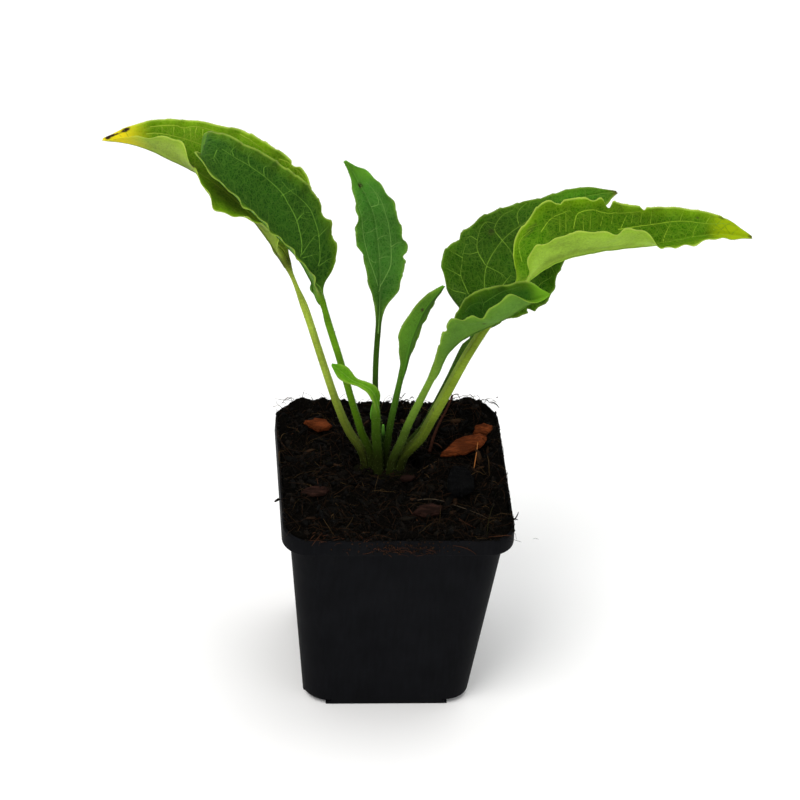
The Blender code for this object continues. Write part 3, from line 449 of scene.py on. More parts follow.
# Tangles of short strands: middle and spread in millimetres, number and tint
TANGLES = (
    ((-29, -43.5, 93.4), (4, 1.4, 0.4), 26, "red"),
    ((-14, -44, 93.3), (5, 1.5, 0.4), 14, "red"),
    ((6, -44, 93.3), (13, 1.2, 0.4), 40, "dark"),
    ((1.3, -45.5, 88.8), (7.5, 0.1, 1.2), 46, "red"),
    ((33, -43, 93.5), (8, 1.6, 0.4), 26, "dark"),
    ((34, 43.5, 95), (5, 1, 0.3), 34, "black"),
    ((6, 44.5, 94.5), (2.5, 0.8, 0.6), 12, "black"),
    ((-40, 42.5, 93.6), (3, 1, 0.2), 10, "red"),
    ((43.8, -32, 94), (0.6, 1.5, 0.4), 12, "black"),
    ((-30, 6, 92.5), (6, 6, 0.6), 30, "moss"),
)
STRAND_TINTS = {
    "orange": (0.36, 0.13, 0.035), "pale": (0.095, 0.07, 0.045), "red": (0.05, 0.019, 0.009),
    "moss": (0.016, 0.014, 0.004), "dark": (0.004, 0.003, 0.0022),
    "black": (0.0016, 0.0013, 0.0011),
}
# The tip of the next leaf in millimetres, from inside the rootstock upwards, and its thickness
NEXT_LEAF = ((-2.6, 10, 86.5), (-3.3, 10, 98), (-4, 10, 108))
NEXT_LEAF_WIDTH = 1.8
# How far each chip's outline is drawn out at its corners, round from its own long end
CHIP_OUTLINES = {
    "bark_chip_orange": (1.02, 1.1, 0.96, 0.98, 0.88, 0.78, 0.84, 1.16, 0.92, 0.84, 0.98, 0.9, 1.0, 0.94),
    "bark_chip_scrap": (1.3, 0.95, 1.18, 0.85, 1.05, 0.8, 1.2, 1.15, 0.8, 1.1, 0.9, 1.15),
    "bark_chip_back": (1.05, 0.8, 1.1, 0.85, 1.05, 0.75, 1.3, 0.95, 0.85, 1.15, 0.8, 1.0),
    "bark_chip_left": (1.05, 1.0, 0.85, 0.9, 0.95, 1.05, 1.15, 0.9, 0.95, 0.88, 1.05, 0.9),
    "bark_chip_front": (1.15, 0.85, 1.05, 0.9, 1.0, 0.8, 1.25, 0.9, 1.05, 0.8, 1.05, 0.9),
}


def lattice(ix, iy, iz, seed):
    """A value from 0 to 1 for each lattice point, mixed from its whole coordinates and a seed."""
    mask = np.uint64(0xFFFFFFFF)
    mixed = ix * 374761393 + iy * 668265263 + iz * 1442695041 + seed * 362437
    value = (mixed & 0x7FFFFFFFFFFF).astype(np.uint64) & mask
    value = ((value ^ (value >> np.uint64(13))) * np.uint64(1274126177)) & mask
    value = ((value ^ (value >> np.uint64(16))) * np.uint64(668265263)) & mask
    return (value & np.uint64(0xFFFFFF)).astype(float) / 0xFFFFFF


def noise(points, cell, seed=0):
    """Smooth noise from -1 to 1: lattice values blended by 3u^2 - 2u^3 along each axis."""
    place = np.asarray(points, float) / cell
    low = np.floor(place).astype(np.int64)
    u = place - low
    u = u * u * (3 - 2 * u)
    total = np.zeros(place.shape[:-1])
    for corner in range(8):
        step = np.array([corner & 1, corner >> 1 & 1, corner >> 2 & 1])
        weight = np.prod(np.where(step, u, 1 - u), axis=-1)
        ix, iy, iz = np.moveaxis(low + step, -1, 0)
        total += weight * lattice(ix, iy, iz, seed)
    return 2 * total - 1


def unit(vectors):
    return vectors / np.linalg.norm(vectors, axis=-1, keepdims=True)


def smoothstep(x, low, high):
    share = np.clip((x - low) / (high - low), 0, 1)
    return share * share * (3 - 2 * share)


def spline(knots, rows, at, straight_start=False):
    """Rows read between their knots from cubics that take the slope of the neighbouring rows."""
    slopes = np.gradient(rows, knots, axis=0)
    if straight_start:
        slopes[1] = slopes[0]
    before = np.clip(np.searchsorted(knots, at, side="right") - 1, 0, len(knots) - 2)
    span = (knots[before + 1] - knots[before])[:, None]
    u = (at - knots[before])[:, None] / span
    start = (1 + 2 * u) * (1 - u) ** 2 * rows[before]
    leave = u * (1 - u) ** 2 * span * slopes[before]
    end = u**2 * (3 - 2 * u) * rows[before + 1]
    meet = u**2 * (u - 1) * span * slopes[before + 1]
    return start + leave + end + meet


def stacked(*parts):
    """Arrays and plain numbers side by side along a new last axis."""
    return np.stack(np.broadcast_arrays(*parts), axis=-1)


def grid_faces(rows, columns, first=0, wrap=False):
    """Quads over a grid of points numbered row by row; wrap joins the last column to the first."""
    i, j = np.meshgrid(np.arange(rows - 1), np.arange(columns - (not wrap)), indexing="ij")
    after = (j + 1) % columns
    low, high = i * columns, (i + 1) * columns
    return stacked(low + j, low + after, high + after, high + j).reshape(-1, 4) + first


def distances(line):
    """How far along a line of points each of them lies."""
    return np.concatenate([[0], np.cumsum(np.linalg.norm(np.diff(line, axis=0), axis=1))])


def closed_rings(rings, poles=None):
    """Points, quads and triangles of a stack of rings, closed by a pole inside each end ring."""
    count = rings.shape[1]
    points = rings.reshape(-1, 3)
    poles = rings[[0, -1]].mean(axis=1) if poles is None else poles
    k = np.arange(count)
    after = (k + 1) % count
    end = len(points) - count
    fans = stacked(len(points), after, k), stacked(len(points) + 1, end + k, end + after)
    quads = grid_faces(len(rings), count, wrap=True)
    return np.concatenate([points, poles]), quads, np.concatenate(fans)


def caps(count, end):
    """Triangles that close a ring, and turned round, a last ring whose points begin at end."""
    k = np.arange(1, count - 1)
    fan = stacked(0, k, k + 1)
    return np.concatenate([fan, fan[:, ::-1] + end])


def beside(ways):
    """Unit vectors square to each way and level, or square to X where the way is steep."""
    return unit(np.cross(ways, np.where(np.abs(ways[..., 2:]) < 0.9, [0, 0, 1.0], [1.0, 0, 0])))


def circle(count, across, other):
    """Evenly spread unit vectors round a way, from two unit vectors square to it."""
    turn = 2 * pi / count * np.arange(count)[:, None]
    return np.cos(turn) * across[..., None, :] + np.sin(turn) * other[..., None, :]


NO_QUADS, NO_TRIANGLES = np.zeros((0, 4), int), np.zeros((0, 3), int)


def joined(sets):
    """Sets of points, quads, triangles and tints as one, with the faces numbered on."""
    points, quads, triangles, tints = zip(*sets)
    first = np.cumsum([0, *map(len, points)])
    quads = [faces + start for faces, start in zip(quads, first)]
    triangles = [faces + start for faces, start in zip(triangles, first)]
    return tuple(map(np.concatenate, (points, quads, triangles, tints)))


def mesh_object(name, points, quads, triangles=NO_TRIANGLES, values=None, finishes=(), finish_of=None):
    """A smooth mesh object from arrays, with one vector attribute for each entry of values.

    finish_of gives each face's place in finishes, quads first and then triangles.
    """
    mesh = bpy.data.meshes.new(name)
    corners = np.concatenate([quads.reshape(-1), triangles.reshape(-1)])
    sizes = np.concatenate([np.full(len(quads), 4), np.full(len(triangles), 3)])
    mesh.vertices.add(len(points))
    mesh.vertices.foreach_set("co", np.asarray(points, np.float32).reshape(-1))
    mesh.loops.add(len(corners))
    mesh.loops.foreach_set("vertex_index", corners.astype(np.int32))
    mesh.polygons.add(len(sizes))
    starts = np.concatenate([[0], np.cumsum(sizes)[:-1]])
    mesh.polygons.foreach_set("loop_start", starts.astype(np.int32))
    if finish_of is not None:
        mesh.polygons.foreach_set("material_index", np.asarray(finish_of, np.int32))
    for finish in finishes:
        mesh.materials.append(finish)
    mesh.update(calc_edges=True)
    for key, vectors in (values or {}).items():
        attribute = mesh.attributes.new(key, "FLOAT_VECTOR", "POINT")
        attribute.data.foreach_set("vector", np.asarray(vectors, np.float32).reshape(-1))
    mesh.validate()
    mesh.shade_smooth()
    made = bpy.data.objects.new(name, mesh)
    bpy.context.scene.collection.objects.link(made)
    return made


def stand_for(piece, *nodes, slot):
    """The piece rides on the object's one body and hides those CAD nodes. Its slot is not used."""
    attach(piece, "root")
    if nodes:
        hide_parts(*nodes)
    return piece


class Tree:
    """A node tree under construction. Inputs are plain values or the sockets that feed them."""

    def __init__(self, tree):
        self.tree = tree

    def feed(self, socket, value):
        if isinstance(value, bpy.types.NodeSocket):
            self.tree.links.new(value, socket)
        else:
            socket.default_value = (*value, 1) if socket.type == "RGBA" else value

    def add(self, kind, inputs=(), **settings):
        node = self.tree.nodes.new("ShaderNode" + kind)
        for key, value in settings.items():
            setattr(node, key, value)
        for key, value in dict(inputs).items():
            self.feed(node.inputs[key], value)
        return node

    def math(self, operation, *values, clamp=False):
        return self.add("Math", enumerate(values), operation=operation, use_clamp=clamp).outputs[0]

    def times(self, first, *others):
        for other in others:
            first = self.math("MULTIPLY", first, other)
        return first

    def plus(self, first, second, clamp=False):
        return self.math("ADD", first, second, clamp=clamp)

    def vector_math(self, operation, inputs):
        return self.add("VectorMath", inputs, operation=operation).outputs[0]

    def ramp(self, value, low, high, to_low=0.0, to_high=1.0):
        """Value mapped from low..high to to_low..to_high, held inside those ends."""
        return self.add("MapRange", {"Value": value, "From Min": low, "From Max": high,
                                     "To Min": to_low, "To Max": to_high}).outputs["Result"]

    def mix(self, share, first, second, blend="MIX"):
        return self.add("Mix", {0: share, 6: first, 7: second}, data_type="RGBA", blend_type=blend,
                        clamp_factor=True).outputs[2]

    def grey(self, value):
        return self.add("CombineXYZ", {"X": value, "Y": value, "Z": value}).outputs[0]

    def place(self):
        return self.add("TexCoord").outputs["Object"]

    def noise(self, place, scale, detail, roughness=0.5, output="Fac"):
        return self.add("TexNoise", {"Vector": place, "Scale": scale, "Detail": detail,
                                     "Roughness": roughness}).outputs[output]

    def cells(self, place, scale, feature="F1"):
        """Distance to the nearest cell's middle, or to its edge with DISTANCE_TO_EDGE."""
        return self.add("TexVoronoi", {"Vector": place, "Scale": scale}, feature=feature).outputs["Distance"]

    def attribute(self, name):
        return self.add("Attribute", attribute_name=name).outputs["Vector"]

    def parts(self, vector):
        return self.add("SeparateXYZ", {"Vector": vector}).outputs


def new_group(name, inputs, outputs):
    """A shader node group with named sockets, a Tree over it, and the sockets of its two ends."""
    group = bpy.data.node_groups.new(name, "ShaderNodeTree")
    kinds = {float: "NodeSocketFloat", tuple: "NodeSocketColor", Vector: "NodeSocketVector"}
    for key, value in inputs.items():
        socket = group.interface.new_socket(key, in_out="INPUT", socket_type=kinds[type(value)])
        socket.default_value = (*value, 1) if type(value) is tuple else value
    for key, kind in outputs.items():
        group.interface.new_socket(key, in_out="OUTPUT", socket_type=kinds[kind])
    ends = group.nodes.new("NodeGroupInput").outputs, group.nodes.new("NodeGroupOutput").inputs
    return group, Tree(group), ends


def leaf_skin_group():
    """Colour, roughness and relief of a leaf, from what its mesh holds.

    sheet: place on the flattened leaf, in metres. form: vein, distance to the margin in metres
    and share of blade. marks: spot, yellowing and tone, the factor of painted shade and light. side: 1 on the
    under side.
    """
    group, t, (given, out) = new_group(
        "Leaf skin",
        {"Upper": (0.05, 0.15, 0.02), "Under": (0.15, 0.25, 0.06), "Vein": (0.2, 0.35, 0.06),
         "Stalk": (0.1, 0.2, 0.03), "Tip": (0.5, 0.4, 0.02), "Rim": 0.5, "Net": 0.5},
        {"Colour": tuple, "Roughness": float, "Height": float},
    )
    sheet = t.attribute("sheet")
    vein, margin, blade = t.parts(t.attribute("form"))
    spot, yellow, tone = t.parts(t.attribute("marks"))
    under = t.parts(t.attribute("side"))[0]

    warp = t.noise(sheet, 260.0, 2.0, output="Color")
    bent = t.vector_math("SUBTRACT", {0: warp, 1: (0.5, 0.5, 0.5)})
    place = t.vector_math("ADD", {0: sheet, 1: t.vector_math("SCALE", {0: bent, "Scale": 0.0012})})
    coarse = t.cells(place, 420.0, "DISTANCE_TO_EDGE")
    fine = t.cells(place, 1150.0, "DISTANCE_TO_EDGE")
    netted = t.math("MAXIMUM", t.ramp(coarse, 0.0, 0.10, 0.40, 0.0), t.ramp(fine, 0.0, 0.22, 0.28, 0.0))
    netted = t.times(netted, given["Net"], blade)
    veined = t.math("MAXIMUM", t.times(vein, 0.35), netted)

    broad = t.noise(sheet, 60.0, 4.0, 0.6)
    grain = t.noise(sheet, 1100.0, 3.0)
    light = t.plus(t.ramp(broad, 0.3, 0.7, 0.72, 1.28), t.ramp(grain, 0.25, 0.75, -0.14, 0.14))
    # shade multiplies in the random mottle, the fine cells and the tone factor, which is painted shade and
    # light; it darkens the blade and the stalk alike
    shade = t.grey(t.times(light, tone, t.ramp(fine, 0.05, 0.5, 1.10, 0.82)))

    side = t.mix(under, given["Upper"], given["Under"])
    colour = t.mix(1.0, side, shade, "MULTIPLY")
    # A lime band along the margin: partly yellowing, partly painted light that shines through the thin margin
    rim = t.times(t.ramp(margin, 0.0002, 0.0045, 1.0, 0.0), given["Rim"])
    rim = t.times(rim, t.ramp(broad, 0.35, 0.6, 0.35, 1.0), 0.75)
    colour = t.mix(rim, colour, (0.190, 0.330, 0.002))
    # A pale thin line at the very margin: a painted highlight where the edge catches the light
    edge = t.times(t.ramp(margin, 0.0002, 0.0010, 1.0, 0.0), blade)
    edge = t.math("MULTIPLY", edge, t.plus(given["Rim"], 0.08), clamp=True)
    colour = t.mix(t.times(edge, 0.85), colour, (0.400, 0.500, 0.080))
    # The vein colour is dimmed by the same painted shade
    dim = t.grey(t.ramp(tone, 0.0, 1.0, 0.05, 1.0))
    pale_vein = t.mix(1.0, given["Vein"], dim, "MULTIPLY")
    colour = t.mix(t.times(veined, 0.85), colour, pale_vein)
    across = t.math("ABSOLUTE", t.parts(sheet)[0])
    keel = t.times(t.ramp(across, 0.0008, 0.0017, 0.50, 0.0), under, blade, t.ramp(margin, 0.003, 0.008))
    colour = t.mix(keel, colour, t.mix(0.4, given["Under"], given["Stalk"]))
    colour = t.mix(yellow, colour, given["Tip"])
    flecked = t.ramp(t.cells(sheet, 210.0), 0.10, 0.16, 1.0, 0.0)
    flecked = t.times(flecked, t.ramp(broad, 0.50, 0.60, 0.0, 0.7))
    stalk = t.mix(1.0, given["Stalk"], shade, "MULTIPLY")
    stalk = t.mix(flecked, stalk, (0.060, 0.030, 0.020))
    colour = t.mix(blade, stalk, colour)
    colour = t.mix(spot, colour, (0.030, 0.014, 0.010))
    # Painted shade: the stalks darken towards their feet, low among the crowded stalks under the leaves
    painted_low_shade = t.ramp(t.parts(t.place())[2], 0.0955, 0.1290, 0.97, 0.0)
    t.feed(out["Colour"], t.mix(painted_low_shade, colour, (0.013, 0.017, 0.003)))
    t.feed(out["Roughness"], t.plus(t.ramp(grain, 0.3, 0.7, 0.40, 0.54), t.times(under, 0.14)))
    height = t.math("SUBTRACT", t.times(grain, 0.35), netted)
    t.feed(out["Height"], t.times(height, t.ramp(under, 0.0, 1.0, 1.0, -1.0)))
    return group


def plastic_group():
    """Moulded plastic: fine upright rub marks, soft blotches, specks of dust and a film near the rim."""
    group, t, (given, out) = new_group(
        "Rubbed plastic",
        {"Base": (0.010, 0.011, 0.013), "Dust": (0.060, 0.050, 0.042), "Gloss": 0.4},
        {"Colour": tuple, "Roughness": float, "Height": float},
    )
    place = t.place()
    upright = t.add("Mapping", {"Vector": place, "Scale": (900.0, 900.0, 35.0)}).outputs[0]
    rubs = t.noise(upright, 1.0, 3.0)
    blotch = t.noise(place, 70.0, 5.0)
    grain = t.noise(place, 2200.0, 2.0)
    shade = t.grey(t.plus(t.ramp(rubs, 0.25, 0.75, 0.72, 1.28), t.ramp(blotch, 0.3, 0.7, -0.16, 0.16)))
    colour = t.mix(1.0, given["Base"], shade, "MULTIPLY")
    dust = t.times(t.ramp(t.cells(place, 260.0), 0.06, 0.12, 1.0, 0.0), t.ramp(blotch, 0.55, 0.62, 0.0, 0.8))
    high = t.ramp(t.parts(place)[2], 0.075, 0.093, 0.0, 0.5)
    film = t.times(high, t.ramp(blotch, 0.48, 0.70, 0.0, 0.35))
    t.feed(out["Colour"], t.mix(t.math("MAXIMUM", dust, film), colour, given["Dust"]))
    rough = t.plus(given["Gloss"], t.ramp(rubs, 0.3, 0.7, -0.05, 0.07))
    t.feed(out["Roughness"], t.plus(rough, t.times(film, 0.6), clamp=True))
    t.feed(out["Height"], t.plus(t.times(grain, 0.5), t.times(rubs, 0.5)))
    return group


def earth_group():
    """Crumbly plant matter: grain in drifts, drawn out along X where Stretch is below 1."""
    group, t, (given, out) = new_group(
        "Crumbly matter",
        {"Dark": (0.010, 0.007, 0.005), "Light": (0.050, 0.028, 0.016), "Scale": 900.0, "Stretch": 1.0},
        {"Colour": tuple, "Roughness": float, "Height": float},
    )
    place = t.place()
    stretch = t.add("CombineXYZ", {"X": given["Stretch"], "Y": 1.0, "Z": 1.0}).outputs[0]
    coarse = t.noise(t.vector_math("MULTIPLY", {0: place, 1: stretch}), given["Scale"], 5.0, 0.7)
    share = t.times(t.ramp(coarse, 0.42, 0.72), t.ramp(t.noise(place, 120.0, 3.0), 0.35, 0.65, 0.25, 1.0))
    t.feed(out["Colour"], t.mix(share, given["Dark"], given["Light"]))
    t.feed(out["Roughness"], t.ramp(coarse, 0.3, 0.7, 0.95, 0.75))
    t.feed(out["Height"], coarse)
    return group


def group_named(name):
    makers = {"Leaf skin": leaf_skin_group, "Rubbed plastic": plastic_group, "Crumbly matter": earth_group}
    return bpy.data.node_groups.get(name) or makers[name]()


def new_material(name, plain):
    """A material, the Tree over its nodes, and its shader's sockets with the plain values set."""
    made = bpy.data.materials.new(name)
    made.use_nodes = True
    sockets = made.node_tree.nodes["Principled BSDF"].inputs
    for key, value in plain.items():
        sockets[key.replace("_", " ")].default_value = value
    return made, Tree(made.node_tree), sockets


def finish(name, group, given, bump=0.3, bump_distance=0.0002, **plain):
    """A Principled material over a group: its colour, roughness and relief change over the surface."""
    made, t, sockets = new_material(name, plain)
    skin = t.add("Group", given, node_tree=group_named(group)).outputs
    relief = t.add("Bump", {"Height": skin["Height"], "Strength": bump, "Distance": bump_distance})
    t.feed(sockets["Base Color"], skin["Colour"])
    t.feed(sockets["Roughness"], skin["Roughness"])
    t.feed(sockets["Normal"], relief.outputs["Normal"])
    return made


def strand_finish(name, roughness=0.6, **plain):
    """A material for hairs, fibres and crumbs, whose colour is an attribute that their mesh holds."""
    made, t, sockets = new_material(name, {"Roughness": roughness, **plain})
    t.feed(sockets["Base Color"], t.attribute("tint"))
    return made


def leaf_stations(name):
    """Rows along a leaf: midrib, half widths, lifts and curls, with the share of blade at each.

    The stalk's and the blade's rows are read from cubics over the distance along the leaf.
    """
    leaf = LEAVES[name]
    x, y, z, half_width = leaf["stalk"][0]
    stalk = [(x, y, (CROWN_TOP - SOCKET_DEPTH) / MILLIMETRE, half_width), *leaf["stalk"]]
    rows = [(x, y, z, half, 0, 0, half, 0, 0) for x, y, z, half in stalk]
    rows = np.array([*rows, *leaf["blade"]], float)
    rows[:, (0, 1, 2, 3, 6)] *= MILLIMETRE
    rows[:, (4, 5, 7, 8)] *= pi / 180
    knots = distances(rows[:, :3])
    joint = knots[len(stalk) - 1]
    at = np.concatenate([
        np.arange(0, joint, STALK_STEP),
        np.linspace(joint, knots[-1], int((knots[-1] - joint) / BLADE_STEP)),
    ])
    share = np.clip((at - joint) / (knots[len(stalk) + 1] - joint), 0, 1)
    rows = spline(knots, rows, at, straight_start=True)
    rows[:, (3, 6)] = np.maximum(rows[:, (3, 6)], 0.0004)
    # The stalks draw together and widen a little towards the rootstock.
    gather = FOOT_GATHER * np.exp(-((at / GATHER_LENGTH) ** 4))[:, None]
    rows[:, :2] += gather * (np.array(GATHER_PLACE) - rows[:, :2])
    rows[:, (3, 6)] *= 1 + FOOT_SPREAD * np.exp(-((at / FOOT_LENGTH) ** 2))[:, None]
    return rows, (3 - 2 * share) * share**2, at, joint


def leaf_frame(leaf, path, blade):
    """Unit vectors to the right of each cross section and out of its upper side."""
    along = unit(np.gradient(path, axis=0))
    overall = unit(path[-1] - path[np.argmax(blade > 0)])
    along = unit(along + leaf.get("steady", 0) * blade[:, None] * (overall - along))
    level = np.array([sin(radians(leaf["heading"])), -cos(radians(leaf["heading"])), 0])
    right = unit(level - (along @ level)[:, None] * along)
    return right, np.cross(right, along)


def in_photo(points):
    """Pixels to the right and down where the photo's camera sees points, and their distance."""
    right = unit(np.array(CAMERA_RIGHT))
    back = unit(np.cross(right, CAMERA_UP))
    away = points - np.array(CAMERA_PLACE)
    ahead = -(away @ back)
    scale = PHOTO_SIZE * FOCAL_LENGTH / SENSOR_WIDTH / ahead
    down = PHOTO_SIZE / 2 - scale * (away @ np.cross(back, right))
    return PHOTO_SIZE / 2 + scale * (away @ right), down, ahead


def veins_on_blade(name, surface, share, start):
    """Side veins in the leaf's own units: width, shares along the blade, shares across its half.

    A point of the photo goes to the grid point that shows nearest to it, with a small cost for
    lying deeper and for a jump from the vein's last point. One step of Newton's method on the
    grid's slopes then brings it between the grid's points.
    """
    u, v, ahead = in_photo(surface)
    (u_down, u_over), (v_down, v_over) = np.gradient(u), np.gradient(v)
    turn = u_down * v_over - u_over * v_down
    depth_cost = DEPTH_COST * (ahead - ahead.min())
    depth_cost[:start] = depth_cost[-1:] = depth_cost[:, [0, -1]] = np.inf
    row, column = np.indices(u.shape)
    middle = u.shape[1] // 2
    veins = []
    for width, *points in VEINS[name]:
        found = []
        for right, down in points:
            cost = np.hypot(u - right, v - down) + depth_cost
            if found:
                cost += JUMP_COST * np.hypot(row - found[-1][0], 2 * (column - found[-1][1]))
            i, j = np.unravel_index(cost.argmin(), cost.shape)
            miss_u, miss_v = right - u[i, j], down - v[i, j]
            step_down = (miss_u * v_over[i, j] - miss_v * u_over[i, j]) / turn[i, j]
            step_over = (miss_v * u_down[i, j] - miss_u * v_down[i, j]) / turn[i, j]
            found.append((i + np.clip(step_down, -1.5, 1.5), j + np.clip(step_over, -1.5, 1.5)))
        found = np.array(found)
        out = (found[:, 1] - middle) / middle
        along = np.interp(found[:, 0], np.arange(len(share)), share)
        veins.append((MILLIMETRE * width, along, np.sign(out) * np.abs(out) ** COLUMN_POWER))
    return veins


def wide_at(rows, at, out, forward):
    """Half width of the leaf at distances along it, on the left where out is below 0."""
    return np.where(out < 0, np.interp(forward, at, rows[:, 3]), np.interp(forward, at, rows[:, 6]))


def point_on(line, steps, spot):
    """Where a flat line is at a distance along it."""
    return [np.interp(spot, steps, line[:, axis]) for axis in (0, 1)]


def vein_lines(name, veins, rows, at, joint):
    """Polylines on the flattened leaf, each with a width and its strength at both ends.

    The midrib runs along the middle, and the side veins follow. A branch leaves its vein at a
    steady spacing and angle, and bends forward.
    """
    end = at[-1]
    blade_length = end - joint
    midrib = stacked(0, np.linspace(joint, end, 90))
    lines = [(midrib, MIDRIB_WIDTH, 1.0, 0.6)]
    parents = [midrib[midrib[:, 1] > joint + 0.06 * blade_length]]
    for width, share, across in veins:
        knots = np.arange(len(share), dtype=float)
        u = np.linspace(0, knots[-1], 12 * len(share))
        share, across = spline(knots, stacked(share, across), u).T
        forward = joint + blade_length * np.clip(share, 0, 0.985)
        across = np.clip(across, -0.95, 0.95)
        line = stacked(across * wide_at(rows, at, across, forward), forward)
        lines.append((line, width, 0.95, 0.6))
        parents.append(line[3:])
    random = np.random.default_rng(len(name))
    turn = radians(BRANCH_ANGLE)
    v = np.linspace(0, 1, 8)
    for line in parents:
        steps = distances(line)
        for side in (-1, 1):
            spots = np.arange(BRANCH_SPACING * random.uniform(0.3, 0.9), steps[-1], BRANCH_SPACING)
            for spot in spots + random.uniform(-0.25, 0.25, len(spots)) * BRANCH_SPACING:
                root = point_on(line, steps, spot)
                ahead = point_on(line, steps, spot + 0.001)
                heading = np.arctan2(ahead[0] - root[0], ahead[1] - root[1])
                length = BRANCH_REACH * random.uniform(0.5, 1.1)
                bend = heading + side * turn * (1 - 0.35 * v) + random.normal(0, 0.12)
                dx = np.cumsum(np.sin(bend)) * length / 8
                dy = np.cumsum(np.cos(bend)) * length / 8
                branch = stacked(root[0] + dx - dx[0], root[1] + dy - dy[0])
                lines.append((branch, BRANCH_WIDTH, 0.45, 0.2))
    return lines


def read_grid(grid, row, column):
    """Values of a grid at fractional rows and columns, from the four points around each."""
    row = np.clip(row, 0, grid.shape[0] - 1.001)
    column = np.clip(column, 0, grid.shape[1] - 1.001)
    i, j = row.astype(int), column.astype(int)
    s, t = (row - i)[:, None], (column - j)[:, None]
    near = grid[i, j] * (1 - t) + grid[i, j + 1] * t
    return near * (1 - s) + (grid[i + 1, j] * (1 - t) + grid[i + 1, j + 1] * t) * s


def vein_ribs(name, lines, top, low, tone):
    """Slender ribs along the veins, on both sides of a leaf.

    Each ring is a flat diamond across the vein, which stands a little out of the skin.
    """
    rows, _, at, _ = leaf_stations(name)
    columns = top.shape[1] // 2
    upper, under, vein_colour = np.array(LOOKS[name][:3])
    vein_colour = 1.15 * vein_colour
    points, quads, tints, first = [], [], [], 0
    for line, width, strong, weak in lines:
        steps = distances(line)
        count = max(int(steps[-1] / RIB_STEP), 4)
        s = np.linspace(0, steps[-1], count)
        out, forward = point_on(line, steps, s)
        wide = wide_at(rows, at, out, forward)
        inside = (np.abs(out) < 0.97 * wide) & (forward < at[-1] - 0.0006)
        count = len(inside) if inside.all() else int(np.argmin(inside))
        if count < 4:
            continue
        out, forward, wide = out[:count], forward[:count], wide[:count]
        row = np.interp(forward, at, np.arange(len(at)))
        column = columns * (1 + np.sign(out) * (np.abs(out) / wide) ** (1 / COLUMN_POWER))
        u = np.linspace(0, 1, count)
        level = (strong + (weak - strong) * u)[:, None]
        slim = width / 2 * (1 - 0.55 * u)[:, None]
        # The ribs take the leaf's tone factor, so they carry the same painted shade and light
        dim = np.clip(read_grid(tone[..., None], row, column), 0.06, 1.2)
        for grid, outward, rise, skin, pale in ((top, 1, RIB_RISE, upper, vein_colour),
                                                (low, -1, 0.3 * width, under, 1.45 * under)):
            if outward < 0 and width < VEIN_WIDTH:
                continue
            half = slim * (KEEL_RIB if outward < 0 and width == MIDRIB_WIDTH else 1)
            path = read_grid(grid, row, column)
            down = read_grid(grid, row + 1, column) - read_grid(grid, row - 1, column)
            over = read_grid(grid, row, column + 1) - read_grid(grid, row, column - 1)
            normal = outward * unit(np.cross(over, down) + 1e-15)
            across = unit(np.cross(unit(np.gradient(path, axis=0) + 1e-12), normal) + 1e-12)
            height = np.maximum(rise * half / half[0], 0.00004)
            ways = (-half * across, -height * normal, half * across, height * normal)
            points.append(np.stack([path + way for way in ways], axis=1).reshape(-1, 3))
            quads.append(grid_faces(count, 4, first, wrap=True))
            ends = np.array([[0, 1, 2, 3], [3, 2, 1, 0]]) + np.array([[0], [4 * (count - 1)]])
            quads.append(ends[:, ::-1] + first)
            tints.append(np.repeat(dim * (skin + (pale - skin) * level), 4, axis=0))
            first += 4 * count
    return np.concatenate(points), np.concatenate(quads), NO_TRIANGLES, np.concatenate(tints)


def vein_field(flat, lines):
    """For each flat point: vein strength from 0 to 1, and the distance to the nearest vein.

    Strength falls off as exp(-(distance / width)^2), and along each vein from its first value
    to its last.
    """
    strength = np.zeros(len(flat))
    nearest = np.full(len(flat), 1.0)
    for line, width, first, last in lines:
        low, high = line.min(0) - 0.006, line.max(0) + 0.006
        near = np.flatnonzero(((flat > low) & (flat < high)).all(1))
        if not len(near):
            continue
        start, span = line[:-1], np.diff(line, axis=0)
        away = flat[near][:, None] - start
        length = (span**2).sum(1) + 1e-12
        u = np.clip((away * span).sum(2) / length, 0, 1)
        gap = np.linalg.norm(away - u[..., None] * span, axis=2)
        best = gap.argmin(1)
        gap = gap[np.arange(len(near)), best]
        share = (best + u[np.arange(len(near)), best]) / len(span)
        level = (first + (last - first) * share) * np.exp(-((gap / width) ** 2))
        strength[near] = np.maximum(strength[near], level)
        nearest[near] = np.minimum(nearest[near], gap)
    return strength, nearest


def margin_change(name, at, joint, side, settings):
    """How far the margin stands out of its smooth line: saw teeth, slow wander, and bites.

    A tooth rises as the 1.6th power of its length and drops at its end.
    """
    share = (at - joint) / (at[-1] - joint)
    seed = len(name) + 7 * side
    wander = noise(stacked(at, 0, 0), 0.006, seed)
    phase = at / settings.tooth_spacing + 0.35 * wander
    size = 0.55 + 0.45 * noise(stacked(at, 0, 0), 0.011, seed + 1)
    change = settings.tooth_depth * size * ((phase % 1) ** 1.6 - 0.4) + 0.0003 * wander
    for bite_side, place, depth, half_width in BITES.get(name, ()):
        if bite_side == side:
            away = (share - place) * (at[-1] - joint) / (MILLIMETRE * half_width)
            change = change - MILLIMETRE * depth * np.exp(-np.abs(away) ** 3)
    return change


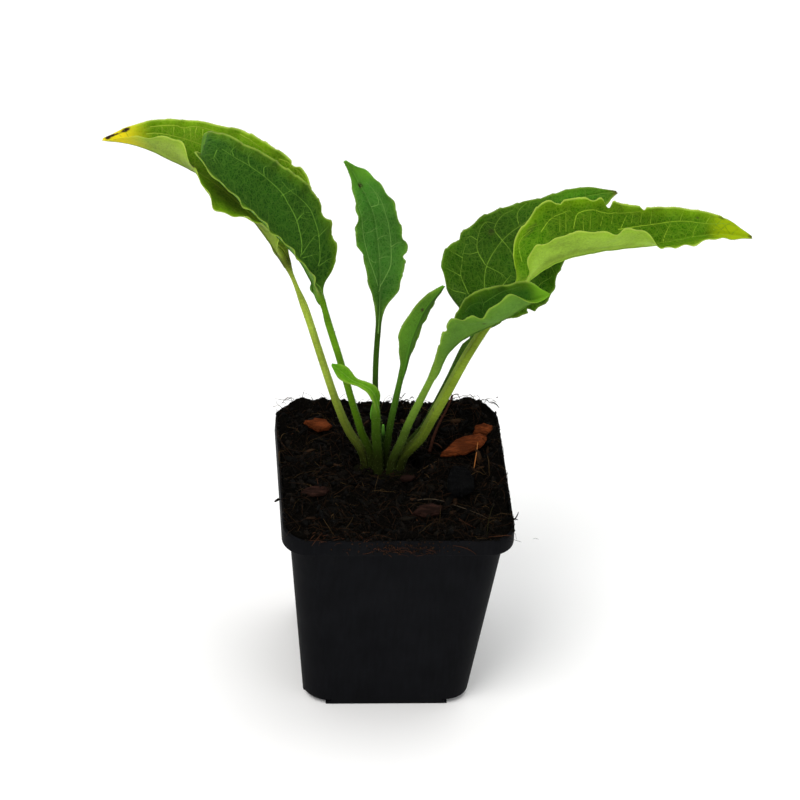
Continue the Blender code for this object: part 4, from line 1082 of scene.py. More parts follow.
def leaf_marks(name, q, share, length, width, sheet):
    """Dark spots, the yellowing tip, and the tone factor of painted shade and light (in places the leaf's own
    lighter and darker green), at each point of a leaf.
    """
    begin = LOOKS[name][6]
    yellow = smoothstep(share + 0.05 * noise(sheet, 0.012, 8), begin, begin + TIP_BLEND)
    spot = np.zeros(width.shape)
    for along, across, radius, strength in SPOTS.get(name, ()):
        away = np.hypot((share - along) * length * 0.7, sheet[..., 0] - across * width)
        away = away * (1 + 0.35 * noise(sheet, 0.001, 9)) / MILLIMETRE
        spot = np.maximum(spot, strength * (1 - smoothstep(away, 0.55 * radius, radius)))
    # tone below 1 is painted shade and above 1 painted light; in places it is the leaf's own darker and
    # lighter green
    tone = np.ones(width.shape)
    for along, across, along_reach, across_reach, factor in PAINTED_SHADE_LIGHT_AND_TONES.get(name, ()):
        away = ((share - along) / along_reach) ** 2 + ((q - across) / across_reach) ** 2
        tone = tone * (1 + (factor - 1) * np.exp(-away))
    return spot, yellow, tone


def leaf_shape(name, settings):
    """Points of the upper and the lower side, the vein lines, and what the finish reads there.

    Each half of a cross section is an arc of the half's width, whose chord has the half's lift.
    Waves and teeth grow towards the margin, and the skin between veins stands up in pillows.
    The stalk is a half round with a groove on top, and it turns into the midrib's keel.
    """
    leaf = LEAVES[name]
    rows, blade, at, joint = leaf_stations(name)
    right, up = leaf_frame(leaf, rows[:, :3], blade)
    columns = int(np.clip(rows[:, (3, 6)].max() / COLUMN_STEP, 12, 32))
    q = np.linspace(0, 1, columns + 1) ** COLUMN_POWER
    q = np.concatenate([-q[:0:-1], q])
    side = np.sign(q)
    width, lift, curl = (np.where(q < 0, rows[:, [k]], rows[:, [k + 3]]) for k in (3, 4, 5))
    curl = np.where(np.abs(curl) < 0.01, 0.01, curl)
    scale = blade * np.clip(rows[:, (3, 6)].min(1) / 0.006, 0.1, 1)
    change = [(margin_change(name, at, joint, half, settings) * scale)[:, None] for half in (-1, 1)]
    change = np.where(q < 0, *change)
    reach = width * np.abs(q) + change * np.abs(q) ** 7
    share_out = reach / width
    start = lift - curl / 2
    turned = start + curl * share_out
    out = side * width * (np.sin(turned) - np.sin(start)) / curl
    rise = width * (np.cos(start) - np.cos(turned)) / curl
    face_out, face_up = -side * np.sin(turned), np.cos(turned)
    face_out[:, columns] = np.sin(start[:, 0]) - np.sin(start[:, -1])
    face_up[:, columns] = np.cos(start[:, 0]) + np.cos(start[:, -1])
    size = np.hypot(face_out, face_up)
    face_out, face_up = face_out / size, face_up / size

    sheet = stacked(side * reach, at[:, None], 0.1 * len(name))

    amount = blade[:, None] * np.clip(width / 0.012, 0, 1)
    wave = WAVE_DEPTH * np.abs(q) ** 3 * np.sin(2 * pi * at[:, None] / WAVE_LENGTH + 2 * side)
    ruffle = RUFFLE_DEPTH * np.abs(q) ** 5 * np.sin(2 * pi * at[:, None] / RUFFLE_LENGTH + side)
    ruffle = ruffle + 0.0004 * np.abs(q) ** 2 * noise(sheet, 0.009, 3)
    bulge = amount * (wave + ruffle)
    out, rise = out + bulge * face_out, rise + bulge * face_up
    surface = rows[:, None, :3] + out[..., None] * right[:, None] + rise[..., None] * up[:, None]
    share = (at - joint) / (at[-1] - joint)
    veins = veins_on_blade(name, surface, share, int(np.searchsorted(at, joint)))
    lines = vein_lines(name, veins, rows, at, joint)
    vein, nearest = vein_field(sheet[..., :2].reshape(-1, 2), lines)
    vein, nearest = vein.reshape(reach.shape), nearest.reshape(reach.shape)
    puff = settings.puff * (0.5 - np.exp(-((nearest / PUFF_WIDTH) ** 2)))
    puff = puff + 0.00018 * noise(sheet, 0.0030, 5) + 0.00008 * noise(sheet, 0.0013, 6)
    out, rise = out + amount * puff * face_out, rise + amount * puff * face_up

    half_thick = settings.thickness / 2 * (1 - 0.55 * np.abs(q) ** 6)
    keel = KEEL_DEPTH * np.exp(-((reach / KEEL_WIDTH) ** 2))
    keel = keel * (1 - 0.8 * (at / at[-1])[:, None] ** 2)
    groove = GROOVE_DEPTH * np.exp(-((reach / GROOVE_WIDTH) ** 2)) + VEIN_GROOVE * vein
    ridge = VEIN_RIDGE * vein * (1 - np.exp(-((reach / 0.002) ** 2)))
    lean_out, lean_up = face_out[:, [columns]], face_up[:, [columns]]
    arc = pi / 2 * q
    stalk_out = width * np.sin(arc)
    stalk_top = width * np.cos(arc) * (0.50 + 0.80 * q**2) + STALK_EDGE
    stalk_low = -1.15 * width * np.cos(arc) - STALK_EDGE
    part = blade[:, None]

    def place(offset, keel_part, stalk_rise):
        blade_out = out + offset * face_out - keel_part * lean_out
        blade_up = rise + offset * face_up - keel_part * lean_up
        s = (1 - part) * stalk_out + part * blade_out
        n = (1 - part) * stalk_rise + part * blade_up
        return rows[:, None, :3] + s[..., None] * right[:, None] + n[..., None] * up[:, None]

    top = place(half_thick - groove, 0, stalk_top)
    low = place(-half_thick - ridge, keel, stalk_low)

    margin = np.maximum((width + change) * (1 - np.abs(q)), 0)
    margin = np.minimum(margin, (at[-1] - at)[:, None])
    spot, yellow, tone = leaf_marks(name, q, share[:, None], at[-1] - joint, width, sheet)
    return top, low, lines, sheet, stacked(vein, margin, part), stacked(spot, yellow * part, tone)


def spikes(roots, ways, lengths, width):
    """Thin hairs: three points round each root and a tip at a length along the hair's way."""
    ways = unit(ways)
    across = beside(ways)
    ring = circle(3, across, np.cross(ways, across))
    tips = roots + np.asarray(lengths)[:, None] * ways
    points = np.concatenate([roots[:, None] + width / 2 * ring, tips[:, None]], axis=1)
    sides = np.array([[0, 1, 3], [1, 2, 3], [2, 0, 3], [0, 2, 1]])
    faces = sides + 4 * np.arange(len(roots))[:, None, None]
    return points.reshape(-1, 3), faces.reshape(-1, 3)


def surface_points(grid, random, count, weight):
    """Random places on a grid of points, by a weight for each cell, with unit normals and cells.

    The normal is the cross product of the way to the next column and the way to the next row.
    """
    down, over = np.diff(grid, axis=0)[:, :-1], np.diff(grid, axis=1)[:-1]
    normal = np.cross(over, down)
    area = np.linalg.norm(normal, axis=-1)
    chance = (weight[:-1, :-1] * area).reshape(-1)
    pick = random.choice(len(chance), count, p=chance / chance.sum())
    i, j = np.unravel_index(pick, area.shape)
    s, t = random.random((2, count, 1))
    spot = grid[i, j] + s * down[i, j] + t * over[i, j]
    return spot, normal[i, j] / (area[i, j][:, None] + 1e-12), i, j


def leaf_hairs(name, top, low, form, settings):
    """Bristles on the stalk and the veins, a thin fleece on both sides, and lashes on the margin."""
    random = np.random.default_rng(31 + len(name))
    vein, blade = form[..., 0], form[..., 2]
    length = np.linalg.norm(np.diff(top[:, top.shape[1] // 2], axis=0), axis=1).sum()
    stalk_count, blade_count = (int(length * settings.hair_density * share) for share in (1, FLEECE_DENSITY))
    roots, ways, lengths = [], [], []
    for grid, outward in ((top, 1), (low, -1)):
        for count, weight, size in (
            (stalk_count, 1.0 - blade, settings.hair_length),
            (blade_count, blade * (0.15 + vein), FLEECE_LENGTH * settings.hair_length),
        ):
            spot, normal, i, j = surface_points(grid, random, count, weight)
            along = unit(grid[i + 1, j] - grid[i, j])
            roots.append(spot - HAIR_ROOT * outward * normal)
            ways.append(outward * normal + 0.3 * along + 0.25 * random.normal(size=(count, 3)))
            lengths.append(size * random.uniform(0.4, 1.1, count))
    for column, inner in ((0, 3), (-1, -4)):
        line = (top[:, column] + low[:, column]) / 2
        bladed = np.flatnonzero(blade[:, column] > 0.4)[:-1]
        pick = random.choice(bladed, 3 * len(bladed))
        s = random.random((len(pick), 1))
        roots.append(line[pick] * (1 - s) + line[pick + 1] * s)
        forward = unit(line[pick + 1] - line[pick])
        stray = 0.2 * random.normal(size=(len(pick), 3))
        ways.append(unit(line[pick] - top[pick, inner]) + 0.5 * forward + stray)
        lengths.append(LASH_LENGTH * settings.hair_length * random.uniform(0.4, 1.0, len(pick)))
    return spikes(*map(np.concatenate, (roots, ways, lengths)), settings.hair_width)


def make_leaf(name, settings):
    """One leaf with its hairs, closed all round, standing for the CAD node of the same name."""
    top, low, lines, sheet, form, marks = leaf_shape(name, settings)
    stations, columns = top.shape[:2]
    size = stations * columns
    quads = [grid_faces(stations, columns), grid_faces(stations, columns, size)[:, ::-1]]
    index = np.arange(size).reshape(stations, columns)
    # The right margin, the left one, the foot and the tip join the upper side to the under side.
    edges = index[:, -1], index[:, 0], index[0], index[-1]
    for line, down_first in zip(edges, (True, False, True, False)):
        a, b = line[:-1], line[1:]
        quads.append(stacked(*((a, a + size, b + size, b) if down_first else (a, b, b + size, a + size))))
    quads = np.concatenate(quads)
    skin_count = len(quads)
    hairs, hair_faces = leaf_hairs(name, top, low, form, settings)
    points, quads, triangles, tint = joined([
        (np.stack([top, low]).reshape(-1, 3), quads, NO_TRIANGLES, np.zeros((2 * size, 3))),
        vein_ribs(name, lines, top, low, marks[..., 2]),
        (hairs, NO_QUADS, hair_faces, np.full((len(hairs), 3), settings.hair_colour)),
    ])
    rest = np.zeros((len(points) - 2 * size, 3))
    values = {}
    for key, grid in (("sheet", sheet), ("form", form), ("marks", marks)):
        values[key] = np.concatenate([grid.reshape(-1, 3), grid.reshape(-1, 3), rest])
    values["side"] = np.zeros((len(points), 3))
    values["side"][size : 2 * size, 0] = 1
    values["tint"] = tint
    looks = dict(zip(("Upper", "Under", "Vein", "Stalk", "Tip", "Rim"), LOOKS[name]))
    skin = finish(
        f"{name} skin", "Leaf skin", {**looks, "Net": settings.net}, bump=0.5, bump_distance=0.00025,
        Subsurface_Weight=settings.glow, Subsurface_Radius=(0.5, 1.0, 0.2), Subsurface_Scale=0.0012,
        Specular_IOR_Level=0.02)
    hair = bpy.data.materials.get("leaf hair and vein") or strand_finish(
        "leaf hair and vein", 0.6, Specular_IOR_Level=0.02)
    finish_of = np.repeat([0, 1], [skin_count, len(quads) + len(triangles) - skin_count])
    piece = mesh_object(name + "_dressed", points, quads, triangles, values, (skin, hair), finish_of)
    return stand_for(piece, name, slot="pale_leaf" if name in PALE_LEAVES else "dark_leaf")


def square_path(width, radius, corner_steps=10, side_steps=24):
    """Points round a square with round corners, counterclockwise from above: arcs and straight runs."""
    inner = width / 2 - radius
    points = []
    for corner, (cx, cy) in enumerate(((1, 1), (-1, 1), (-1, -1), (1, -1))):
        turn = pi / 2 * (corner + np.linspace(0, 1, corner_steps + 1))
        arc = stacked(cx * inner + radius * np.cos(turn), cy * inner + radius * np.sin(turn))
        straight = np.linspace(0, 1, side_steps + 1)[1:-1, None]
        way = np.array([-np.sin(turn[-1]), np.cos(turn[-1])]) * 2 * inner
        points += [arc, arc[-1] + straight * way]
    return np.concatenate(points)


def wall_width(z):
    """Outer width of the tapered wall at height z."""
    share = (z - FOOT_HEIGHT) / (POT_HEIGHT - BAND_HEIGHT - FOOT_HEIGHT)
    return WALL_BASE_WIDTH + share * (WALL_TOP_WIDTH - WALL_BASE_WIDTH)


def rounded_profile(corners, radius, steps=4):
    """A profile of (width, z) with each inner corner replaced by a short arc-like curve.

    The curve is the quadratic blend of the corner with a point at the radius on either side.
    """
    corners = np.array(corners, float)
    corners[:, 0] /= 2
    points = [corners[0]]
    for before, corner, after in zip(corners, corners[1:], corners[2:]):
        back, ahead = before - corner, after - corner
        sizes = np.linalg.norm(back), np.linalg.norm(ahead)
        reach = min(radius, 0.45 * min(sizes))
        start, end = corner + back / sizes[0] * reach, corner + ahead / sizes[1] * reach
        for u in np.linspace(0, 1, steps + 1):
            points.append((1 - u) ** 2 * start + 2 * u * (1 - u) * corner + u * u * end)
    points.append(corners[-1])
    return np.array(points)


def prism(name, outline_low, outline_high):
    """A closed solid between two outlines of as many points, for a Boolean. The cut removes it."""
    count = len(outline_low)
    points = np.concatenate([outline_low, outline_high])
    k = np.arange(count)
    after = (k + 1) % count
    faces = [*stacked(k, after, after + count, k + count), k[::-1], k + count]
    mesh = bpy.data.meshes.new(name)
    mesh.from_pydata([tuple(p) for p in points], [], [tuple(f) for f in faces])
    made = bpy.data.objects.new(name, mesh)
    bpy.context.scene.collection.objects.link(made)
    return made


def cut(piece, helpers):
    """Cuts the helpers out of the piece for good."""
    for helper in helpers:
        change = piece.modifiers.new(helper.name, "BOOLEAN")
        change.operation, change.solver, change.object = "DIFFERENCE", "EXACT", helper
    graph = bpy.context.evaluated_depsgraph_get()
    carved = bpy.data.meshes.new_from_object(piece.evaluated_get(graph))
    piece.modifiers.clear()
    piece.data = carved
    for helper in helpers:
        bpy.data.objects.remove(helper)


def pot_cutters():
    """Four blocks with sloping sides that raise the foot's corners, and four drain holes."""
    helpers = []
    high, low = FOOT_WIDTH / 2, FOOT_WIDTH / 2 + FOOT_SPLAY
    far = RIM_WIDTH
    for side_x in (-1, 1):
        for side_y in (-1, 1):
            outlines = []
            for inner, z in ((low + FOOT_SPLAY, -FOOT_HEIGHT), (high, FOOT_HEIGHT)):
                corners = [(inner, inner), (far, inner), (far, far), (inner, far)]
                corners = corners[::-1] if side_x * side_y < 0 else corners
                outlines.append(np.array([(side_x * x, side_y * y, z) for x, y in corners]))
            helpers.append(prism("foot corner", *outlines))
            turn = np.linspace(0, 2 * pi, 32, endpoint=False)
            x = side_x * DRAIN_OFFSET + DRAIN_RADIUS * np.cos(turn)
            y = side_y * DRAIN_OFFSET + DRAIN_RADIUS * np.sin(turn)
            helpers.append(prism("drain hole", stacked(x, y, -FOOT_HEIGHT), stacked(x, y, 3 * FOOT_HEIGHT)))
    return helpers


def make_pot(settings):
    """One profile carried round a square path: floor, wall, band, rim and inside again.

    The wall bows by a sine of the height times a cosine across each side, as thin plastic does.
    """
    shoulder = POT_HEIGHT - BAND_HEIGHT
    floor = FOOT_HEIGHT + FLOOR_THICKNESS
    band_low = RIM_WIDTH + 2 * BAND_FLARE
    outside = rounded_profile([
        (0.012, 0), (wall_width(0), 0), (WALL_TOP_WIDTH, shoulder), (band_low, shoulder),
        (RIM_WIDTH, POT_HEIGHT), (RIM_WIDTH - 2 * WALL, POT_HEIGHT),
        (band_low - 2 * WALL, shoulder + WALL),
        (wall_width(shoulder + WALL) - 2 * WALL, shoulder + WALL),
        (wall_width(floor) - 2 * WALL, floor), (0.012, floor),
    ], settings.edge)
    rings = []
    for half, z in outside:
        inset = 0.5 * RIM_WIDTH - half
        radius = CORNER_RADIUS - max(inset - 0.5 * (RIM_WIDTH - WALL_BASE_WIDTH), 0)
        ring = square_path(2 * half, min(CORNER_RADIUS, np.clip(radius, 0.3 * half, half)))
        bow = settings.bow * np.sin(pi * np.clip(z / shoulder, 0, 1)) * (half > 0.02)
        centre = np.cos(pi / 2 * np.clip(np.abs(ring).min(1) / (RIM_WIDTH / 2), 0, 1)) ** 2
        ring = ring * (1 - bow * centre / half)[:, None]
        rings.append(stacked(*ring.T, z))
    # The wall gets rings in between, so that it can bow.
    rings = np.array(rings)
    u = np.linspace(0, 1, 14)[1:-1, None, None]
    parts, last = [], 0
    for k in np.flatnonzero(np.abs(np.diff(outside[:, 1])) > 0.02):
        parts += [rings[last : k + 1], rings[k] * (1 - u) + rings[k + 1] * u]
        last = k + 1
    rings = np.concatenate([*parts, rings[last:]])
    black = finish("black plastic", "Rubbed plastic",
                   {"Base": settings.colour, "Dust": settings.dust, "Gloss": settings.roughness},
                   bump=0.25, bump_distance=0.00012, Specular_IOR_Level=0.02)
    piece = mesh_object("pot_dressed", *closed_rings(rings, [(0, 0, 0), (0, 0, floor)]), finishes=(black,))
    cut(piece, pot_cutters())
    piece.data.shade_smooth()
    piece.data.set_sharp_from_angle(angle=radians(50))
    return stand_for(piece, "pot", slot="pot")


def soil_height(x, y):
    """Height of the soil: two crossed sets of ripples with mounds added."""
    height = SOIL_TOP + RIPPLE_HEIGHT * np.sin(330 * x + 1.0) * np.sin(290 * y + 0.4)
    height = height + FINE_RIPPLE_HEIGHT * np.sin(640 * x + 430 * y)
    for mound_x, mound_y, rise, radius in MILLIMETRE * np.array(MOUNDS):
        height = height + rise * np.exp(-((x - mound_x) ** 2 + (y - mound_y) ** 2) / radius**2)
    return height


def crumbly_height(x, y, settings):
    """The soil's height with lumps of three sizes, ridged where the noise crosses zero.

    Towards the pot's rim it climbs, and at the back it stands above the rim.
    """
    place = stacked(x, y, 0)
    lumps = settings.lumps * (noise(place, 0.0052, 11) + 0.6 * (1 - 2 * np.abs(noise(place, 0.0026, 12))))
    lumps = lumps + 0.45 * settings.lumps * noise(place, 0.0013, 13)
    outer = np.maximum(np.abs(x), np.abs(y)) / (RIM_WIDTH / 2 - WALL)
    climb = settings.climb * smoothstep(outer, 0.84, 0.99)
    back = BACK_RISE * smoothstep(y / (RIM_WIDTH / 2 - WALL), 0.80, 0.97)
    return soil_height(x, y) + lumps + climb + back * (0.7 + 0.6 * noise(place, 0.007, 14))


def inside_soil(u, v, margin=0.0):
    """The soil's top for u and v from -1 to 1: square rings drawn out to the round-cornered edge."""
    width = RIM_WIDTH - 2 * WALL - 2 * GAP - 2 * margin
    radius = CORNER_RADIUS - WALL - GAP
    reach = np.maximum(np.abs(u), np.abs(v))
    half = width / 2
    x, y = u * half, v * half
    # A point past a corner's arc slides towards the arc's centre by the same share.
    inner = half - radius
    over_x, over_y = np.maximum(np.abs(x) - inner * reach, 0), np.maximum(np.abs(y) - inner * reach, 0)
    longest = np.maximum(over_x, over_y)
    span = np.hypot(over_x, over_y)
    shrink = np.where(span > 0, longest / np.maximum(span, 1e-9), 1)
    x = np.sign(x) * (np.abs(x) - over_x * (1 - shrink))
    y = np.sign(y) * (np.abs(y) - over_y * (1 - shrink))
    return x, y


def in_crown_hole(x, y, gap=GAP):
    half_x, half_y = CROWN_HALF[0] + gap, CROWN_HALF[1] + gap
    return ((x - CROWN_CENTRE[0]) / half_x) ** 2 + ((y - CROWN_CENTRE[1]) / half_y) ** 2 < 1


def make_soil(settings):
    """The crumbly top as a height over a square grid, with sides that follow the pot down."""
    steps = 216
    u, v = np.meshgrid(np.linspace(-1, 1, steps), np.linspace(-1, 1, steps), indexing="xy")
    x, y = inside_soil(u, v)
    reach = np.maximum(np.abs(u), np.abs(v))
    z = crumbly_height(x, y, settings) - 0.0008 * (reach > 0.995)
    z = np.where(in_crown_hole(x, y), CROWN_BOTTOM - GAP, z)
    top = stacked(x, y, z).reshape(-1, 3)
    index = np.arange(steps * steps).reshape(steps, steps)
    edge = np.concatenate([index[0, :-1], index[:-1, -1], index[-1, :0:-1], index[:0:-1, 0]])
    shoulder = POT_HEIGHT - BAND_HEIGHT + WALL + GAP
    floor = FOOT_HEIGHT + FLOOR_THICKNESS + GAP
    rim = top[edge, :2]
    rings = [top[edge]]
    for width, level in ((RIM_WIDTH, shoulder), (wall_width(shoulder), shoulder), (wall_width(floor), floor)):
        scale = (width - 2 * WALL - 2 * GAP) / (RIM_WIDTH - 2 * WALL - 2 * GAP)
        rings.append(stacked(*(rim * scale).T, level))
    rings.append(stacked(*(rim * 0.01).T, floor))
    count = len(edge)
    points = np.concatenate([top, *rings[1:], [[0, 0, floor]]])
    order = [edge] + [len(top) + k * count + np.arange(count) for k in range(len(rings) - 1)]
    quads = [grid_faces(steps, steps)]
    for above, below in zip(order, order[1:]):
        quads.append(stacked(above, below, np.roll(below, -1), np.roll(above, -1)))
    fan = stacked(order[-1], len(points) - 1, np.roll(order[-1], -1))
    earth = finish("potting soil", "Crumbly matter",
                   {"Dark": settings.dark, "Light": settings.light, "Scale": 1100.0},
                   bump=0.8, bump_distance=0.0006, Specular_IOR_Level=0.02)
    piece = mesh_object("potting_soil_dressed", points, np.concatenate(quads), fan, finishes=(earth,))
    return stand_for(piece, "potting_soil", slot="soil")


def tubes(paths, radii, tints, sides=3):
    """Thin tubes with closed ends round many paths at once.

    paths is strands by steps by xyz. Each ring is square to its path, and the radius tapers to
    a third at both ends as the square root of a sine.
    """
    strands, steps = paths.shape[:2]
    along = unit(np.gradient(paths, axis=1) + 1e-12)
    across = beside(along)
    taper = 0.33 + 0.67 * np.sqrt(np.abs(np.sin(pi * np.linspace(0.02, 0.98, steps))))
    ring = circle(sides, across, np.cross(across, along))
    rings = paths[:, :, None] + ring * (np.asarray(radii)[:, None] * taper)[:, :, None, None]
    points = rings.reshape(-1, 3)
    quads = grid_faces(steps, sides, wrap=True)[None, :, ::-1]
    offset = (steps * sides * np.arange(strands))[:, None, None]
    quads = (quads + offset).reshape(-1, 4)
    ends = (caps(sides, (steps - 1) * sides) + offset).reshape(-1, 3)
    return points, quads, ends, np.repeat(np.asarray(tints), steps * sides, axis=0)


def crumbs(places, sizes, tints, random):
    """Small lumps: the twelve corners of an icosahedron, each drawn in or out at random."""
    golden = (1 + 5**0.5) / 2
    pairs = [(a, b * golden) for a in (-1, 1) for b in (-1, 1)]
    corners = unit(np.array([np.roll((0, a, b), turn) for turn in (0, 2, 1) for a, b in pairs]))
    close = np.linalg.norm(corners[:, None] - corners[None], axis=2) < 1.1
    faces = [(a, b, c) for a in range(12) for b in range(a + 1, 12) for c in range(b + 1, 12)
             if close[a, b] and close[b, c] and close[a, c]]
    faces = np.array([f if np.linalg.det(corners[list(f)]) > 0 else f[::-1] for f in faces])
    count = len(places)
    stretch = random.uniform(0.55, 1.25, (count, 1, 3)) * random.uniform(0.75, 1.2, (count, 12, 1))
    points = np.asarray(places)[:, None] + corners * stretch * np.asarray(sizes)[:, None, None] / 2
    faces = (faces[None] + 12 * np.arange(count)[:, None, None]).reshape(-1, 3)
    return points.reshape(-1, 3), NO_QUADS, faces, np.repeat(np.asarray(tints), 12, axis=0)


def tint_between(random, count, colours, weights):
    """A weighted draw among colours for each strand or crumb, lighter or darker by up to a third."""
    pick = random.choice(len(colours), count, p=np.array(weights) / sum(weights))
    return np.array(colours)[pick] * random.uniform(0.67, 1.33, (count, 1))


def fibre_paths(random, count, settings):
    """Curved paths over the soil: a level arc that follows the soil and arches up between its ends."""
    steps = 8
    u = np.linspace(0, 1, steps)
    start_u, start_v = random.uniform(-0.98, 0.98, (2, count))
    x0, y0 = inside_soil(start_u, start_v, 0.0008)
    length = settings.fibre_length * random.uniform(0.25, 1.3, count)
    heading = random.uniform(0, 2 * pi, count)
    bend = random.normal(0, 0.45, count)
    turned = heading[:, None] + bend[:, None] * (u - 0.5) + 0.10 * np.sin(7 * u + heading[:, None])
    dx = np.cumsum(np.cos(turned), axis=1) * length[:, None] / steps
    dy = np.cumsum(np.sin(turned), axis=1) * length[:, None] / steps
    x, y = x0[:, None] + dx - dx[:, :1], y0[:, None] + dy - dy[:, :1]
    limit = RIM_WIDTH / 2 - 0.0003
    x, y = np.clip(x, -limit, limit), np.clip(y, -limit, limit)
    arch = random.uniform(0, 1, count)[:, None] ** 2 * FIBRE_ARCH * np.sin(pi * u)
    rise = np.where(random.random(count) < LOOSE_ENDS, random.uniform(*LOOSE_RISE, count), 0)
    ground = crumbly_height(x, y, settings)
    ground = np.where(np.maximum(np.abs(x), np.abs(y)) > RIM_WIDTH / 2 - WALL - 0.0005,
                      np.maximum(ground, POT_HEIGHT), ground)
    return stacked(x, y, ground + arch + rise[:, None] * u**2 + random.uniform(-0.0001, 0.0006, (count, 1)))


def tangle(random, middle, spread, count):
    """Short strands round a place: straight lines of random headings that bow up and stray."""
    u = np.linspace(0, 1, 5)[:, None]
    start = middle + spread * random.normal(size=(count, 3))
    heading = random.uniform(0, 2 * pi, count)
    way = stacked(np.cos(heading), 0.5 * np.sin(heading), random.uniform(-0.15, 0.55, count))
    length = random.uniform(0.0012, 0.0050, count)[:, None, None]
    bow = random.uniform(-0.0003, 0.0009, (count, 1, 1)) * np.sin(pi * u)
    stray = 0.0005 * random.normal(size=(count, 1, 3)) * u**2
    return start[:, None] + length * (u - 0.5) * way[:, None] + bow * [0, 0, 1] + stray


def flakes(random, places, lengths):
    """Thin torn plates: a six-cornered outline drawn long, tilted a little, with a flat far side."""
    count = len(places)
    around = 2 * pi * np.arange(6) / 6 + random.uniform(-0.3, 0.3, (count, 6))
    reach = random.uniform(0.75, 1.15, (count, 6))
    wide = random.uniform(0.22, 0.5, (count, 1))
    px, py = np.cos(around) * reach, np.sin(around) * reach * wide
    heading = random.uniform(0, 2 * pi, (count, 1))
    x = px * np.cos(heading) - py * np.sin(heading)
    y = px * np.sin(heading) + py * np.cos(heading)
    tilt = random.normal(0, 0.28, (count, 2, 1))
    z = tilt[:, 0] * x + tilt[:, 1] * y
    face = stacked(x, y, z) * lengths[:, None, None] / 2
    thick = random.uniform(0.05, 0.12, (count, 1, 1)) * lengths[:, None, None] * [0, 0, 1]
    points = places[:, None] + np.concatenate([face + thick, face - thick], axis=1)
    k = np.arange(6)
    after = (k + 1) % 6
    sides = stacked(k, k + 6, after + 6, after)
    offset = 12 * np.arange(count)[:, None, None]
    return points.reshape(-1, 3), (sides + offset).reshape(-1, 4), (caps(6, 6) + offset).reshape(-1, 3)


def tangles(random, settings):
    """Strands round each tangle's middle. In front of the rim they lie almost flat on its face."""
    sets = []
    for middle, spread, count, tint in TANGLES:
        middle, spread = MILLIMETRE * np.array([middle, spread])
        radii = settings.fibre_width * random.uniform(0.5, 1.6, count) * (1.1 if tint == "black" else 0.5)
        tints = np.array(STRAND_TINTS[tint]) * random.uniform(0.5, 1.4, (count, 1))
        strands = tangle(random, middle, spread, count)
        if middle[1] < -RIM_WIDTH / 2:
            strands[..., 1] = middle[1] + 0.12 * (strands[..., 1] - middle[1])
        sets.append(tubes(strands, radii, tints))
    return sets


def straws(settings):
    """The long strands: quadratic curves through their half-way point, lifted out of the soil."""
    sets = []
    u = np.linspace(0, 1, 12)[:, None]
    for start, middle, end, width, tint in STRAWS:
        start, middle, end = MILLIMETRE * np.array([start, middle, end])
        path = (1 - u) ** 2 * start + 2 * u * (1 - u) * (2 * middle - (start + end) / 2) + u * u * end
        x, y, z = path.T
        radius = MILLIMETRE * width / 2
        inside = np.maximum(np.abs(x), np.abs(y)) < RIM_WIDTH / 2 - WALL
        path[:, 2] = np.where(inside, np.maximum(z, crumbly_height(x, y, settings) + radius), z)
        sets.append(tubes(path[None], [radius], [STRAND_TINTS[tint]]))
    return sets


def plates(random, settings):
    """Thin torn plates all over the soil, but not on the rootstock."""
    flake_u, flake_v = random.uniform(-0.96, 0.96, (2, settings.flake_count))
    x, y = inside_soil(flake_u, flake_v, 0.0015)
    away = ~in_crown_hole(x, y, 0.0015)
    x, y = x[away], y[away]
    lengths = settings.flake_length * random.uniform(0.35, 1.2, len(x)) ** 1.5
    made = flakes(random, stacked(x, y, crumbly_height(x, y, settings) + 0.0003), lengths)
    tints = tint_between(random, len(x), (settings.dark, settings.light, settings.fibre_brown), (5, 4, 1.0))
    return *made, np.repeat(tints, 12, axis=0)


def soil_crumbs(random, settings):
    """Places, sizes and tints of the crumbs on the soil and on the rootstock."""
    x, y = inside_soil(*random.uniform(-0.99, 0.99, (2, settings.crumb_count)), 0.0009)
    size = settings.crumb_size * random.uniform(0.35, 1.0, len(x)) ** 1.5 * 2
    z = crumbly_height(x, y, settings) + 0.15 * size
    z = np.where(in_crown_hole(x, y), CROWN_TOP + random.uniform(0.0, 0.0012, len(x)), z)
    tints = tint_between(random, len(x), (settings.dark, settings.light, settings.fibre_dark), (6, 3, 2))
    return stacked(x, y, z), size, tints


def rim_crumbs(random, settings):
    """Places, sizes and tints of the crumbs on the rim, which lie higher along the back."""
    count = settings.crumb_count // 3
    turn = random.uniform(0, 4, count)
    outer = RIM_WIDTH / 2 - 0.8 * WALL
    travel = (2 * (turn % 1) - 1) * (outer - 0.5 * CORNER_RADIUS)
    side = turn.astype(int)
    x = np.choose(side, [travel, outer, travel, -outer])
    y = np.choose(side, [-outer, travel, outer, travel])
    over = np.maximum(np.abs(x) + np.abs(y) - (2 * outer - 0.6 * CORNER_RADIUS), 0) / 2
    x, y = x - np.sign(x) * over, y - np.sign(y) * over
    size = settings.crumb_size * random.uniform(0.3, 1.0, count) ** 1.4 * 1.6
    tints = tint_between(random, count, (settings.dark, settings.light), (3, 1))
    return stacked(x, y, POT_HEIGHT + 0.1 * size + 0.0006 * (y > 0.04)), size, tints


def band_crumbs(random, settings):
    """Places, sizes and tints of the crumbs that cling to the band's front."""
    x = random.normal(0.002, 0.011, BAND_CRUMBS)
    x = x[np.abs(x) < RIM_WIDTH / 2 - CORNER_RADIUS]
    drop = random.uniform(0, BAND_HEIGHT * 0.85, len(x))
    size = random.uniform(0.0003, 0.0009, len(x))
    y = -(RIM_WIDTH / 2 + BAND_FLARE * drop / BAND_HEIGHT) - 0.1 * size
    tints = tint_between(random, len(x), (settings.fibre_brown, settings.fibre_dark), (2, 1))
    return stacked(x, y, POT_HEIGHT - drop), size, tints


